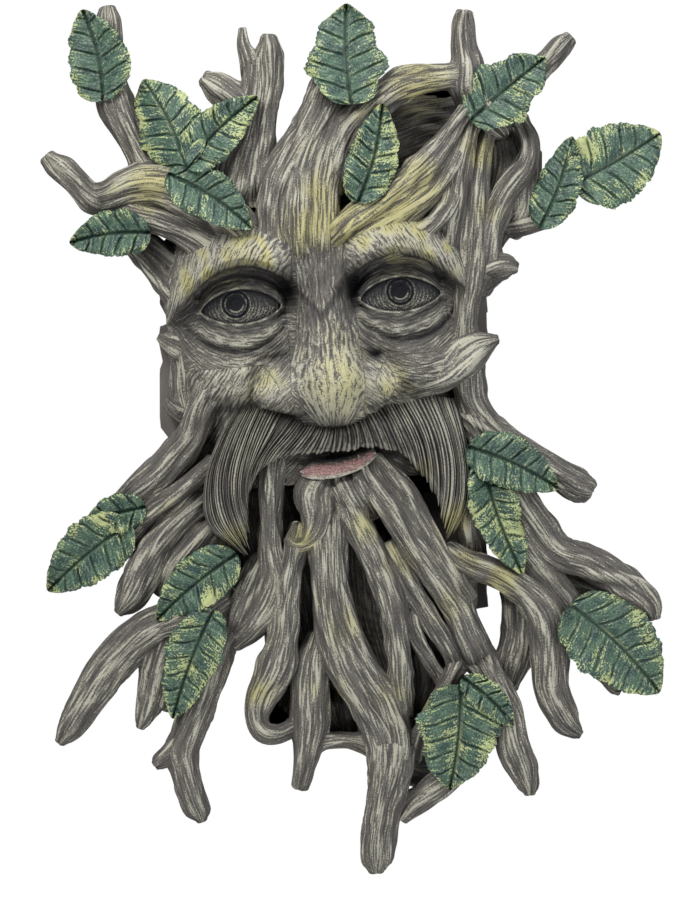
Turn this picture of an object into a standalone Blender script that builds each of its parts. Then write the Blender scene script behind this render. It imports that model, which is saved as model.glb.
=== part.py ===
"""Tree face wall plaque, cast in one piece.

A bearded face grows out of twisted wood, with branches above it, roots below it and leaves
moulded onto both. Everything is in metres: +Z is up, the face looks along -Y, and the flat
back lies in the wall plane y = 0, with the origin on that back behind the mouth.

Places are drawn on a front sheet, as a sculptor's cartoon: u runs right and v runs down.
Heights above the wall are shares of the relief, so the drawing keeps its proportions.
"""

from collections import namedtuple
import math

import bmesh
import bpy
from mathutils import Matrix, Vector
import numpy as np

# Driving sizes
HEIGHT = 0.300
RELIEF = 0.062
LEAF_THICKNESS = 0.0026
KEYHOLE_HEAD = 0.0100
KEYHOLE_SLOT = 0.0056
KEYHOLE_TRAVEL = 0.0090
KEYHOLE_DEPTH = 0.0090
KEYHOLE_LIP = 0.0028
KEYHOLE_ABOVE = 0.0560

# The front sheet: its middle, the rows that the height covers, and the eye that drew it
SHEET_U = 340.0
SHEET_V = 452.0
SHEET_ROWS = 850.0
UNIT = HEIGHT / SHEET_ROWS
EYE_DISTANCE = 2.5 * HEIGHT

# The swell of the plaque: high behind the mouth, low along the rim
SWELL_U = 338.0
SWELL_V = 420.0
SWELL_WIDE = 230.0
SWELL_TALL = 330.0
RIM_SHARE = 0.08
SWELL_SHARE = 0.42
ROOTED_WITHIN = 0.92
FREE_BEYOND = 1.22

# The face: its middle between the eyes and its lean
FACE_U = 320.0
FACE_V = 298.0
FACE_LEAN = math.radians(-4.5)
FACE_STEP = 3.0

# The eyes: their middle out from the face's, half length, corner row and lid heights
EYE_OUT = 80.0
EYE_HALF = 40.0
EYE_CORNER = 4.0
EYE_RISE = 18.5
EYE_DROP = 14.5
BROW_ROW = -38.0

# Buried ends: how deep they sink, in half widths, and over how long a stretch
BURY_DEEP = 1.5
BURY_REACH = 26.0

# Mesh fineness
LIMB_SIDES = 14
LIMB_STEP = 6.0
BEHIND_WALL = 0.004
CLAY_CELL = 0.0010
SMOOTH_ROUNDS = 3
TRIANGLES = 8600

Limb = namedtuple("Limb", "lift flat stations buried fall", defaults=("both", 0.0))
Leaf = namedtuple("Leaf", "base tip half bow lift_base lift_tip fold roll lobes")

# Limbs: lift above the swell, flatness, stations of u, v and half width, buried ends, and
# how far the lift falls by the end
CROWN = {
    "left_branch": Limb(0.02, 1.0, (
        (108, 9, 8), (109, 22, 13), (111, 48, 12), (113, 78, 14), (116, 102, 19), (128, 129, 16),
        (144, 158, 15), (162, 182, 14)), "end"),
    "horn_stub": Limb(0.02, 1.0, (
        (49, 158, 9), (58, 166, 13), (74, 180, 13), (92, 197, 14), (113, 202, 14)), "end"),
    "horn": Limb(0.09, 0.9, (
        (94, 200, 13), (112, 194, 16), (135, 185, 20), (162, 185, 23), (192, 195, 24), (218, 211, 23),
        (241, 229, 20), (256, 244, 15)), "both", 0.06),
    "horn_under": Limb(0.06, 1.0, (
        (108, 206, 10), (132, 213, 12), (160, 222, 13), (190, 234, 14), (215, 249, 15),
        (240, 264, 12)), "both", 0.06),
    "temple_left": Limb(-0.1, 1.0, (
        (128, 246, 7), (142, 256, 9), (155, 270, 11), (168, 286, 12), (184, 306, 10))),
    "side_left": Limb(-0.24, 1.0, (
        (180, 306, 12), (185, 328, 16), (187, 360, 16), (189, 390, 17), (197, 425, 15))),
    "knob_left_high": Limb(-0.18, 1.0, (
        (192, 352, 12), (178, 346, 12), (166, 340, 9), (160, 337, 4)), "start"),
    "knob_left_low": Limb(-0.18, 1.0, (
        (194, 414, 13), (182, 411, 12), (173, 406, 9), (168, 400, 5)), "start"),
    "prong_thin": Limb(0.0, 1.0, (
        (243, 29, 4), (244, 42, 6), (249, 58, 8), (254, 78, 10)), "end"),
    "prong_thick": Limb(0.01, 1.0, (
        (269, 38, 9), (270, 52, 13), (270, 78, 13), (266, 105, 13), (262, 135, 14), (258, 165, 14),
        (256, 200, 14)), "end"),
    "prong_web": Limb(0.0, 0.8, (
        (257, 60, 12), (256, 90, 15), (252, 120, 15), (244, 150, 19), (236, 182, 21),
        (232, 206, 18)), "end"),
    "side_stub": Limb(-0.01, 1.0, (
        (207, 79, 10), (217, 86, 17), (231, 97, 18), (250, 116, 15)), "end"),
    "brow_strand_outer": Limb(0.06, 0.9, (
        (328, 70, 12), (321, 96, 14), (310, 121, 16), (295, 148, 17), (281, 178, 18), (275, 208, 18),
        (275, 238, 16), (284, 266, 10)), "both", 0.05),
    "brow_strand_middle": Limb(0.08, 0.9, (
        (333, 100, 12), (317, 132, 14), (305, 165, 14), (301, 200, 14), (301, 235, 14),
        (304, 268, 10)), "both", 0.05),
    "brow_strand_inner": Limb(0.08, 0.9, (
        (350, 112, 13), (334, 148, 15), (326, 186, 15), (325, 224, 14), (324, 262, 10)), "both", 0.05),
    "arch": Limb(0.07, 1.0, (
        (468, 76, 13), (449, 76, 14), (428, 78, 15), (405, 83, 17), (384, 96, 17), (364, 113, 17),
        (347, 134, 16), (337, 160, 14), (334, 188, 12))),
    "arch_stub": Limb(0.03, 1.0, (
        (464, 14, 9), (464, 27, 12), (465, 46, 12), (468, 66, 16), (466, 88, 17),
        (468, 108, 10)), "end"),
    "right_branch": Limb(0.0, 1.0, (
        (569, 38, 8), (562, 45, 12), (550, 59, 12), (534, 76, 12), (519, 96, 13),
        (508, 118, 12)), "end"),
    "arch_tie": Limb(0.02, 1.0, (
        (470, 84, 15), (482, 102, 14), (494, 120, 13), (504, 132, 10))),
    "diagonal_high": Limb(0.09, 1.0, (
        (466, 110, 7), (455, 126, 10), (438, 150, 13), (412, 177, 14), (383, 199, 14), (353, 219, 13),
        (330, 242, 11)), "end"),
    "diagonal_low": Limb(0.06, 1.0, (
        (462, 136, 9), (451, 164, 11), (432, 190, 12), (403, 211, 13), (372, 229, 12), (346, 248, 10))),
    "brow_strand_right": Limb(0.07, 1.0, (
        (455, 178, 9), (449, 204, 10), (431, 226, 10), (405, 241, 10), (376, 254, 8)), "both", 0.05),
    "right_strand_inner": Limb(0.06, 1.0, (
        (472, 122, 9), (463, 160, 11), (456, 198, 12), (450, 234, 12), (452, 264, 10)), "both", 0.15),
    "right_strand_outer": Limb(0.02, 1.0, (
        (488, 134, 7), (482, 166, 9), (478, 202, 11), (475, 240, 13), (472, 276, 13), (468, 304, 12),
        (465, 332, 12), (464, 358, 11)), "both", 0.17),
    "right_shoulder": Limb(0.01, 1.0, (
        (521, 119, 8), (530, 142, 9), (527, 163, 12), (511, 184, 13), (498, 208, 13), (490, 234, 14),
        (487, 262, 13), (478, 290, 12)), "both", 0.12),
    "right_plank": Limb(-0.08, 0.6, (
        (530, 152, 11), (525, 184, 18), (523, 208, 20), (510, 227, 14))),
    "plank_end": Limb(-0.07, 0.8, (
        (508, 228, 9), (524, 225, 10), (546, 220, 9)), "start"),
    "stub_right": Limb(-0.03, 1.0, (
        (482, 276, 16), (498, 268, 14), (509, 266, 12), (515, 267, 7)), "start"),
    "ear_burl": Limb(0.05, 0.8, (
        (406, 386, 7), (430, 383, 10), (452, 373, 13), (468, 360, 13), (481, 350, 10), (490, 343, 7),
        (496, 338, 3)), "start"),
}

ROOTS_RIGHT = {
    "cheek_strand": Limb(-0.03, 1.0, (
        (470, 352, 13), (470, 378, 15), (474, 402, 16), (491, 427, 15), (521, 449, 14),
        (552, 469, 15), (577, 484, 18), (587, 488, 14)), "start"),
    "second_root": Limb(0.01, 1.0, (
        (470, 410, 14), (490, 446, 15), (508, 474, 16), (530, 512, 17), (557, 548, 17),
        (590, 562, 18), (618, 579, 18), (641, 597, 17), (651, 608, 13), (654, 616, 7)), "start"),
    "third_root": Limb(0.05, 1.0, (
        (450, 548, 9), (470, 563, 13), (500, 575, 14), (528, 593, 16), (547, 620, 20), (550, 655, 19),
        (551, 688, 18), (565, 718, 15), (576, 730, 9), (580, 733, 5)), "start"),
    "root_between": Limb(0.0, 1.0, (
        (502, 520, 14), (528, 555, 15), (555, 586, 14), (574, 615, 13), (583, 644, 12),
        (601, 669, 10), (619, 688, 8))),
    "leaf_rest": Limb(-0.04, 0.7, (
        (572, 600, 9), (594, 610, 10), (610, 632, 10), (622, 655, 8))),
    "hole_side_left": Limb(-0.06, 0.9, (
        (466, 552, 15), (465, 588, 11), (468, 618, 10), (480, 648, 12))),
    "hole_side_right": Limb(-0.12, 0.8, (
        (518, 590, 16), (518, 635, 17), (513, 662, 18), (509, 684, 10))),
    "beard_side_right": Limb(0.0, 1.0, (
        (478, 486, 12), (472, 518, 13), (474, 552, 13))),
    "lower_right_root": Limb(0.04, 1.0, (
        (478, 654, 15), (494, 684, 16), (508, 715, 17), (514, 745, 17), (524, 772, 15),
        (529, 786, 11), (530, 792, 6)), "start"),
    "leaf_branch": Limb(0.04, 1.0, (
        (460, 660, 10), (447, 684, 8), (431, 708, 7), (420, 732, 7), (413, 757, 9))),
    "bottom_branch": Limb(-0.02, 0.8, (
        (403, 817, 7), (413, 804, 13), (425, 795, 14), (440, 784, 15), (456, 772, 12), (464, 750, 12),
        (466, 715, 12), (464, 680, 10)), "end"),
}

ROOTS_LEFT = {
    "thick_root": Limb(0.0, 1.0, (
        (218, 376, 12), (203, 404, 15), (191, 436, 16), (168, 463, 17), (146, 483, 17),
        (128, 497, 13), (116, 505, 9))),
    "pale_root": Limb(0.04, 1.0, (
        (214, 462, 9), (190, 482, 9), (166, 500, 9), (149, 514, 9), (133, 528, 7))),
    "leaf_root_left": Limb(-0.03, 0.9, (
        (150, 512, 10), (133, 533, 12), (113, 546, 11), (92, 552, 8))),
    "hanging_root": Limb(0.0, 1.0, (
        (205, 498, 13), (184, 516, 14), (164, 538, 16), (147, 566, 18), (134, 592, 17),
        (124, 606, 11), (120, 611, 6)), "start"),
    "inner_root": Limb(-0.02, 0.9, (
        (216, 520, 14), (196, 545, 14), (178, 568, 15), (168, 592, 14))),
    "long_root": Limb(0.03, 0.9, (
        (226, 590, 17), (202, 606, 19), (176, 618, 20), (150, 629, 20), (125, 651, 20),
        (104, 675, 20), (87, 702, 18), (73, 724, 15), (66, 734, 11), (61, 741, 6)), "start"),
    "short_root": Limb(0.0, 1.0, (
        (174, 618, 13), (164, 642, 13), (155, 668, 14), (150, 698, 14), (144, 718, 10),
        (141, 726, 5)), "start"),
    "bark_strip": Limb(-0.01, 0.9, (
        (180, 622, 10), (175, 652, 10), (172, 684, 10), (165, 706, 9)), "start"),
    "twig_root": Limb(-0.01, 1.0, (
        (226, 625, 15), (215, 662, 16), (203, 698, 16), (190, 728, 17), (183, 753, 16),
        (188, 780, 14), (195, 802, 14), (200, 813, 12), (202, 819, 6)), "start"),
    "twig_stub": Limb(0.0, 1.0, (
        (186, 734, 9), (170, 752, 10), (160, 761, 8), (157, 764, 5)), "start"),
    "left_column": Limb(0.0, 1.0, (
        (276, 448, 8), (273, 470, 12), (271, 508, 12), (271, 545, 12), (276, 578, 15), (268, 604, 16),
        (251, 628, 14), (236, 642, 10))),
    "column_side": Limb(-0.04, 0.9, (
        (262, 560, 12), (249, 590, 15), (238, 617, 14), (230, 640, 9))),
}

BEARD = {
    "goatee": Limb(0.07, 1.0, (
        (322, 480, 17), (316, 494, 20), (318, 512, 17), (315, 529, 12), (306, 542, 8), (296, 544, 6),
        (288, 538, 4)), "start"),
    "chin": Limb(0.05, 0.8, (
        (345, 476, 20), (354, 494, 20), (366, 514, 17))),
    "loop_root": Limb(0.03, 1.0, (
        (300, 526, 9), (294, 560, 11), (288, 600, 14), (284, 636, 17), (276, 668, 19), (262, 696, 16),
        (258, 716, 13), (265, 730, 11), (280, 732, 9), (296, 724, 8))),
    "fork_root": Limb(-0.01, 1.0, (
        (318, 636, 10), (312, 664, 16), (311, 696, 20), (311, 722, 19), (308, 745, 15),
        (304, 768, 11), (300, 785, 9)), "start"),
    "fork_web": Limb(-0.03, 1.0, (
        (312, 744, 8), (332, 740, 9), (352, 740, 9), (376, 745, 11))),
    "centre_root_left": Limb(0.05, 1.0, (
        (323, 506, 10), (321, 545, 11), (323, 590, 12), (329, 630, 13), (341, 668, 13),
        (360, 702, 13), (378, 738, 14), (385, 770, 14))),
    "centre_root_right": Limb(0.04, 1.0, (
        (338, 498, 10), (336, 540, 11), (340, 595, 11), (351, 638, 14), (369, 673, 15),
        (388, 704, 15), (398, 738, 15), (394, 770, 14))),
    "tap_root": Limb(0.02, 1.0, (
        (393, 736, 24), (391, 770, 22), (385, 800, 18), (379, 832, 18), (377, 858, 17),
        (377, 868, 10)), "start"),
    "middle_root": Limb(0.06, 1.0, (
        (341, 482, 12), (358, 522, 14), (377, 562, 15), (392, 602, 15), (398, 645, 13),
        (401, 682, 12), (406, 712, 9))),
    "right_root": Limb(0.07, 1.0, (
        (362, 460, 11), (370, 480, 12), (393, 513, 13), (414, 546, 13), (438, 580, 13),
        (457, 608, 14), (470, 636, 15), (483, 662, 15))),
    "right_root_under": Limb(0.03, 1.0, (
        (390, 545, 9), (410, 584, 11), (430, 618, 11), (447, 645, 10), (460, 670, 9))),
    "cross_root": Limb(0.02, 1.0, (
        (408, 600, 6), (414, 630, 7), (427, 655, 7), (442, 678, 7))),
    "outer_root": Limb(0.04, 1.0, (
        (378, 458, 9), (399, 484, 11), (417, 512, 11), (434, 542, 10), (450, 570, 10), (468, 598, 9))),
}

# Low webs of casting that close the dark hollows between limbs
BACKING = {
    "crown_floor": Limb(-0.34, 0.5, (
        (330, 150, 35), (380, 148, 42), (430, 130, 38), (470, 124, 32))),
    "crown_floor_low": Limb(-0.16, 0.5, (
        (345, 205, 20), (372, 195, 22), (405, 190, 20), (440, 214, 20), (462, 250, 18),
        (462, 280, 14))),
    "brow_floor": Limb(-0.02, 0.5, (
        (330, 232, 14), (370, 246, 14), (410, 250, 14), (444, 262, 14))),
    "crown_wall": Limb(-0.16, 0.5, (
        (500, 128, 22), (506, 165, 26), (496, 205, 26), (480, 235, 24))),
    "crown_left": Limb(-0.16, 0.6, (
        (205, 196, 16), (238, 182, 30), (270, 175, 30))),
    "horn_floor": Limb(-0.12, 0.6, (
        (140, 238, 11), (156, 252, 14), (172, 266, 15), (190, 278, 13))),
    "beard_floor": Limb(-0.42, 0.6, (
        (355, 540, 62), (360, 600, 62), (372, 650, 54), (388, 690, 40))),
    "beard_floor_left": Limb(-0.34, 0.6, (
        (265, 480, 28), (272, 530, 34), (290, 590, 34), (300, 640, 32), (296, 690, 28),
        (280, 718, 17))),
    "beard_floor_right": Limb(-0.28, 0.6, (
        (412, 585, 22), (430, 628, 26), (444, 668, 22))),
    "fork_floor": Limb(-0.26, 0.6, (
        (340, 690, 20), (346, 716, 20), (352, 736, 14))),
    "left_floor": Limb(-0.28, 0.6, (
        (222, 440, 26), (206, 480, 28), (207, 520, 28), (216, 554, 24), (232, 582, 18))),
    "root_shadow_left": Limb(-0.1, 0.7, (
        (178, 474, 12), (160, 490, 12), (146, 500, 9))),
    "root_shadow_right": Limb(-0.2, 0.6, (
        (498, 500, 24), (526, 545, 20), (562, 572, 13), (596, 586, 10), (626, 600, 10))),
    "branch_floor": Limb(-0.16, 0.7, (
        (412, 712, 11), (407, 740, 13), (414, 768, 15), (438, 770, 15))),
    "fork_floor_right": Limb(-0.22, 0.6, (
        (418, 640, 18), (424, 680, 20), (418, 715, 12))),
}

# Leaves: base and tip on the sheet, half width, sideways bow, lifts, fold, roll and lobes
LEAVES = {
    "leaf_top_left": Leaf((104, 101), (83, 9), 30, 5, 0.10, 0.07, 0.05, 0.03, 0.00),
    "leaf_pair_left": Leaf((187, 167), (144, 79), 33, 5, 0.20, 0.10, -0.05, 0.03, 0.07),
    "leaf_pair_right": Leaf((187, 167), (258, 96), 24, -4, 0.20, 0.13, 0.05, 0.00, 0.00),
    "leaf_on_horn": Leaf((168, 173), (252, 228), 25, -5, 0.20, 0.16, 0.05, 0.04, 0.00),
    "leaf_under_horn": Leaf((151, 232), (70, 242), 23, 4, 0.10, 0.04, 0.05, 0.02, 0.00),
    "leaf_crown": Leaf((352, 104), (347, 3), 37, -3, 0.18, 0.06, 0.05, 0.02, 0.10),
    "leaf_arch": Leaf((358, 203), (383, 103), 25, 5, 0.12, 0.17, 0.04, 0.00, 0.00),
    "leaf_right_branch": Leaf((471, 120), (546, 57), 31, -1, 0.10, 0.07, 0.05, 0.03, 0.10),
    "leaf_folded_inner": Leaf((540, 228), (573, 136), 22, 4, 0.06, 0.05, 0.00, 0.08, 0.00),
    "leaf_folded_outer": Leaf((572, 185), (661, 133), 40, 2, 0.09, 0.03, 0.03, 0.03, 0.00),
    "leaf_cheek": Leaf((468, 446), (559, 488), 26, -4, 0.11, 0.10, 0.05, 0.02, 0.00),
    "leaf_hanging": Leaf((482, 458), (523, 574), 24, 4, 0.10, 0.09, 0.04, 0.03, 0.06),
    "leaf_right_root": Leaf((570, 604), (660, 692), 42, -5, 0.09, 0.02, 0.05, 0.06, 0.05),
    "leaf_bottom": Leaf((461, 684), (450, 789), 39, -3, 0.13, 0.06, 0.05, 0.02, 0.07),
    "leaf_bottom_small": Leaf((463, 677), (514, 725), 16, -3, 0.13, 0.12, 0.03, 0.00, 0.00),
    "leaf_left_root": Leaf((146, 506), (85, 525), 19, 2, 0.09, 0.05, 0.04, 0.03, 0.00),
    "leaf_left_low": Leaf((130, 522), (48, 590), 31, 3, 0.07, 0.01, 0.05, 0.04, 0.00),
    "leaf_beard": Leaf((237, 553), (157, 619), 26, 3, 0.10, 0.11, 0.05, 0.02, 0.00),
    "leaf_twig": Leaf((214, 608), (173, 718), 27, 3, 0.11, 0.09, 0.04, 0.02, 0.04),
}

# Moustache locks: the outer and inner guide of each side, and how many locks lie between them
LOCKS = 6
LOCK_HALF = 7.0
LOCK_LIFT = 0.13
MOUSTACHE = {
    "moustache_left": (((216, 408), (210, 450), (205, 490), (211, 528), (240, 552)),
                       ((300, 414), (272, 438), (250, 472), (244, 512), (250, 556))),
    "moustache_right": (((457, 400), (466, 436), (472, 474), (470, 510), (450, 540)),
                        ((372, 404), (398, 436), (424, 470), (437, 508), (443, 542))),
}


def on_sheet(u, v, depth):
    """Turn a place on the sheet and its distance from the wall into x, y and z."""
    shrink = 1.0 - depth / EYE_DISTANCE
    x = (u - SHEET_U) * UNIT * shrink
    z = (SHEET_V - v) * UNIT * shrink
    return np.stack([x, -depth + 0.0 * x, z], axis=-1)


def from_middle(u, v):
    """How far out a place lies: 0 at the middle of the swell, about 1 near the rim."""
    return np.hypot((u - SWELL_U) / SWELL_WIDE, (v - SWELL_V) / SWELL_TALL)


def swell(u, v):
    """Share of the relief at which a limb's middle passes over a place."""
    return RIM_SHARE + SWELL_SHARE / (1.0 + from_middle(u, v) ** 3)


def ease(low, high, value):
    """Smooth step: 0 below low, 1 above high."""
    share = np.clip((value - low) / (high - low), 0.0, 1.0)
    return share * share * (3.0 - 2.0 * share)


def smooth_route(stations, step):
    """Read points along a Catmull-Rom curve through the stations, about a step apart."""
    points = np.array(stations, dtype=float)
    before = np.vstack([2 * points[0] - points[1], points, 2 * points[-1] - points[-2]])
    pieces = []
    for p0, p1, p2, p3 in zip(before, before[1:], before[2:], before[3:]):
        count = max(2, int(np.hypot(*(p2 - p1)[:2]) / step))
        t = np.linspace(0.0, 1.0, count, endpoint=False)[:, None]
        pieces.append(0.5 * (2 * p1 + (p2 - p0) * t
                             + (2 * p0 - 5 * p1 + 4 * p2 - p3) * t ** 2
                             + (3 * p1 - p0 - 3 * p2 + p3) * t ** 3))
    return np.vstack(pieces + [points[-1:]])


def limb_middle(limb, route):
    """Distance from the wall of a limb's middle: its swell and lift, less its fall and burial."""
    steps = np.hypot(*np.diff(route[:, :2], axis=0).T)
    along = np.concatenate([[0.0], np.cumsum(steps)])
    drop = np.zeros(len(route))
    if limb.buried in ("start", "both"):
        drop = np.maximum(drop, 1.0 - ease(0.0, BURY_REACH, along))
    if limb.buried in ("end", "both"):
        drop = np.maximum(drop, 1.0 - ease(0.0, BURY_REACH, along[-1] - along))
    lift = limb.lift - limb.fall * (along / along[-1]) ** 2
    height = RELIEF * (swell(route[:, 0], route[:, 1]) + lift)
    return height - BURY_DEEP * drop * route[:, 2] * UNIT


def limb_rings(limb):
    """Points of a limb: a round front, and a back that reaches the wall near the middle."""
    route = smooth_route(limb.stations, LIMB_STEP)
    u, v, half = route.T
    height = limb_middle(limb, route)
    rooted = 1.0 - ease(ROOTED_WITHIN, FREE_BEYOND, from_middle(u, v))
    radius = half * UNIT
    run = np.gradient(route[:, :2], axis=0)
    run /= np.linalg.norm(run, axis=1, keepdims=True)
    across = np.stack([-run[:, 1], run[:, 0]], axis=1)
    turn = np.linspace(0.0, 2.0 * math.pi, LIMB_SIDES, endpoint=False)
    cosine = np.cos(turn)
    sine = np.sin(turn)
    back = radius * limb.flat
    back = back + rooted * np.maximum(height + BEHIND_WALL - back, 0.0)
    square = 1.0 - 0.45 * rooted[:, None] * (sine < 0)
    out = np.sign(cosine) * np.abs(cosine) ** square
    ring_u = u[:, None] + across[:, :1] * half[:, None] * out
    ring_v = v[:, None] + across[:, 1:] * half[:, None] * out
    rise = np.where(sine > 0, (radius * limb.flat)[:, None] * sine, back[:, None] * sine)
    return on_sheet(ring_u, ring_v, height[:, None] + rise)


def add_limb(clay, limb):
    """Lay rings along the limb, bridge each to the next and cap both ends."""
    last = None
    rings = limb_rings(limb)
    for number, places in enumerate(rings):
        capped = number in (0, len(rings) - 1)
        ring = bmesh.ops.create_circle(clay, cap_ends=capped, segments=LIMB_SIDES, radius=1.0)
        for vert, place in zip(ring["verts"], places):
            vert.co = Vector(place)
        edges = [edge for edge in {e for vert in ring["verts"] for e in vert.link_edges}]
        if last:
            bmesh.ops.bridge_loops(clay, edges=last + edges)
        last = edges


def moustache_limbs(outer, inner):
    """Locks of hair that lie side by side between an outer and an inner guide."""
    outer = np.array(outer, dtype=float)
    inner = np.array(inner, dtype=float)
    for share in np.linspace(0.0, 1.0, LOCKS):
        route = outer + (inner - outer) * share
        half = LOCK_HALF * np.array([0.9, 1.0, 0.9, 0.8, 0.45])
        yield Limb(LOCK_LIFT, 1.0, tuple(np.column_stack([route, half])))


def leaf_width(t, leaf):
    """Half width along a leaf: pointed oval, with lobes where it has them."""
    oval = np.clip(4.0 * t * (1.0 - t), 0.0, 1.0) ** 0.55
    return leaf.half * (0.06 + 0.94 * oval) * (1.0 + leaf.lobes * np.cos(5.0 * math.pi * t))


def leaf_places(leaf, t, a):
    """Points of a leaf: t runs from base to tip, a from one edge to the other."""
    base = np.array(leaf.base, dtype=float)
    tip = np.array(leaf.tip, dtype=float)
    run = tip - base
    across = np.array([-run[1], run[0]]) / np.linalg.norm(run)
    out = leaf.bow * np.sin(math.pi * t) + a * leaf_width(t, leaf)
    u = base[0] + run[0] * t + across[0] * out
    v = base[1] + run[1] * t + across[1] * out
    lift = leaf.lift_base + (leaf.lift_tip - leaf.lift_base) * t
    lift = lift + 0.03 * np.sin(math.pi * t) + leaf.fold * (np.abs(a) - 0.4) + leaf.roll * a
    return on_sheet(u, v, RELIEF * (swell(u, v) + lift))


def add_leaf(clay, leaf):
    """Bend a flat grid into the leaf and give it its thickness."""
    grid = bmesh.ops.create_grid(clay, x_segments=10, y_segments=14, size=1.0)
    flat = np.array([vert.co[:2] for vert in grid["verts"]])
    places = leaf_places(leaf, 0.5 + 0.5 * flat[:, 1], flat[:, 0])
    for vert, place in zip(grid["verts"], places):
        vert.co = Vector(place)
    faces = list({face for vert in grid["verts"] for face in vert.link_faces})
    bmesh.ops.recalc_face_normals(clay, faces=faces)
    bmesh.ops.solidify(clay, geom=faces, thickness=LEAF_THICKNESS)


def dome(x, y, middle_x, middle_y, wide, tall):
    """Round cap: 1 at its middle, 0 at its rim and beyond."""
    far = ((x - middle_x) / wide) ** 2 + ((y - middle_y) / tall) ** 2
    return np.sqrt(np.clip(1.0 - far, 0.0, None))


def hill(x, y, middle_x, middle_y, wide, tall):
    """Soft bell: 1 at its middle, fading out past its width and height."""
    return np.exp(-((x - middle_x) / wide) ** 2 - ((y - middle_y) / tall) ** 2)


def face_axes(u, v):
    """Places on the face's own leaning axes: x to its left-hand side, y down from its eyes."""
    x = (u - FACE_U) * math.cos(FACE_LEAN) + (v - FACE_V) * math.sin(FACE_LEAN)
    y = -(u - FACE_U) * math.sin(FACE_LEAN) + (v - FACE_V) * math.cos(FACE_LEAN)
    return x, y


def fold(distance, width):
    """Soft ridge across a line: 1 on it, fading out past the width."""
    return np.exp(-(distance / width) ** 2)


def smooth_max(first, second, soft):
    """Greater of two heights with its crease rounded: (a + b + sqrt((a - b) ** 2 + soft ** 2)) / 2."""
    return 0.5 * (first + second + np.sqrt((first - second) ** 2 + soft ** 2))


def nose_form(x, y, side):
    """Bridge that widens down to the bulb, and two wings that flare out.

    A wing lies between an upper and a lower row; it swells slowly from the upper one and rolls in
    fast at the lower one.
    """
    rows = [-70, -40, -10, 20, 50, 75, 100, 118, 130]
    bridge = np.interp(y, rows, [0.0, 0.06, 0.125, 0.185, 0.250, 0.32, 0.31, 0.24, 0.0])
    width = np.interp(y, rows, [19.0, 18.0, 18.5, 21.5, 26.0, 30.0, 33.0, 31.0, 22.0])
    bridge = bridge * np.exp(-np.abs((x - 4.0 - 0.02 * y) / width) ** 3.0)
    bulb = 0.45 * dome(x, y, 7.0, 87.0, 38.5, 40.5) ** 0.9
    high = 46.0 + 0.66 * (side - 28.0)
    low = 94.0 + 21.0 * np.sqrt(np.clip((78.0 - side) / 46.0, 0.0, 1.0))
    t = (y - high) / np.maximum(low - high, 4.0)
    past = np.clip(t - 0.70, 0.0, None) / 0.30
    wing = ease(-0.10, 0.62, t) * np.sqrt(np.clip(1.0 - past ** 2, 0.0, 1.0))
    wing = 0.30 * wing * (1.0 - 0.40 * ease(30.0, 78.0, side)) * (1.0 - ease(70.0, 79.0, side))
    return np.maximum(bridge, smooth_max(bulb, wing, 0.02) - 0.01)


def head_half(y):
    """Half width of the head, temple to temple, at a row."""
    rows = [-80, -55, -32, 11, 36, 92, 130, 184]
    return np.interp(y, rows, [128, 148, 159, 154, 147, 135, 127, 104])


def brow_edge(side):
    """Row of the lower edge of the brow: a low arch that drops faster on its outer side."""
    out = side - EYE_OUT
    return BROW_ROW + np.where(out < 0.0, 0.0088, 0.0100) * out ** 2


def eye_form(base, side, y):
    """The eye set into the base: ball, lids over it, and the opening between the lids."""
    across = (side - EYE_OUT) / EYE_HALF
    arch = np.clip(1.0 - across ** 2, 0.0, 1.0)
    over = EYE_CORNER - EYE_RISE * arch ** 0.75 - y
    under = y - EYE_CORNER - EYE_DROP * arch ** 0.80
    out = ((side - EYE_OUT) / 47.0) ** 2 + ((y - 2.0) / 32.0) ** 2
    ball = 0.350 - 0.0011 * (side - EYE_OUT) + 0.110 * np.sqrt(np.clip(1.0 - out, 0.0, None))
    lids = ball + 0.030 - 0.12 * ease(9.0, 17.0, over) - 0.12 * ease(5.0, 12.0, under)
    lids = lids - 0.16 * ease(1.0, 1.28, np.abs(across))
    near = 1.0 - ease(1.00, 1.40, np.abs(across))
    folds = 0.034 * fold(under - 19.0, 8.5) - 0.020 * fold(under - 9.0, 3.6)
    folds = folds - 0.022 * fold(over - 15.0, 3.6)
    opening = 1.0 / (1.0 + np.exp(over / 1.2)) / (1.0 + np.exp(under / 1.2))
    opening = opening * (1.0 - ease(0.94, 1.04, np.abs(across)))
    return smooth_max(base, lids, 0.010) + folds * near - 0.026 * opening


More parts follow.
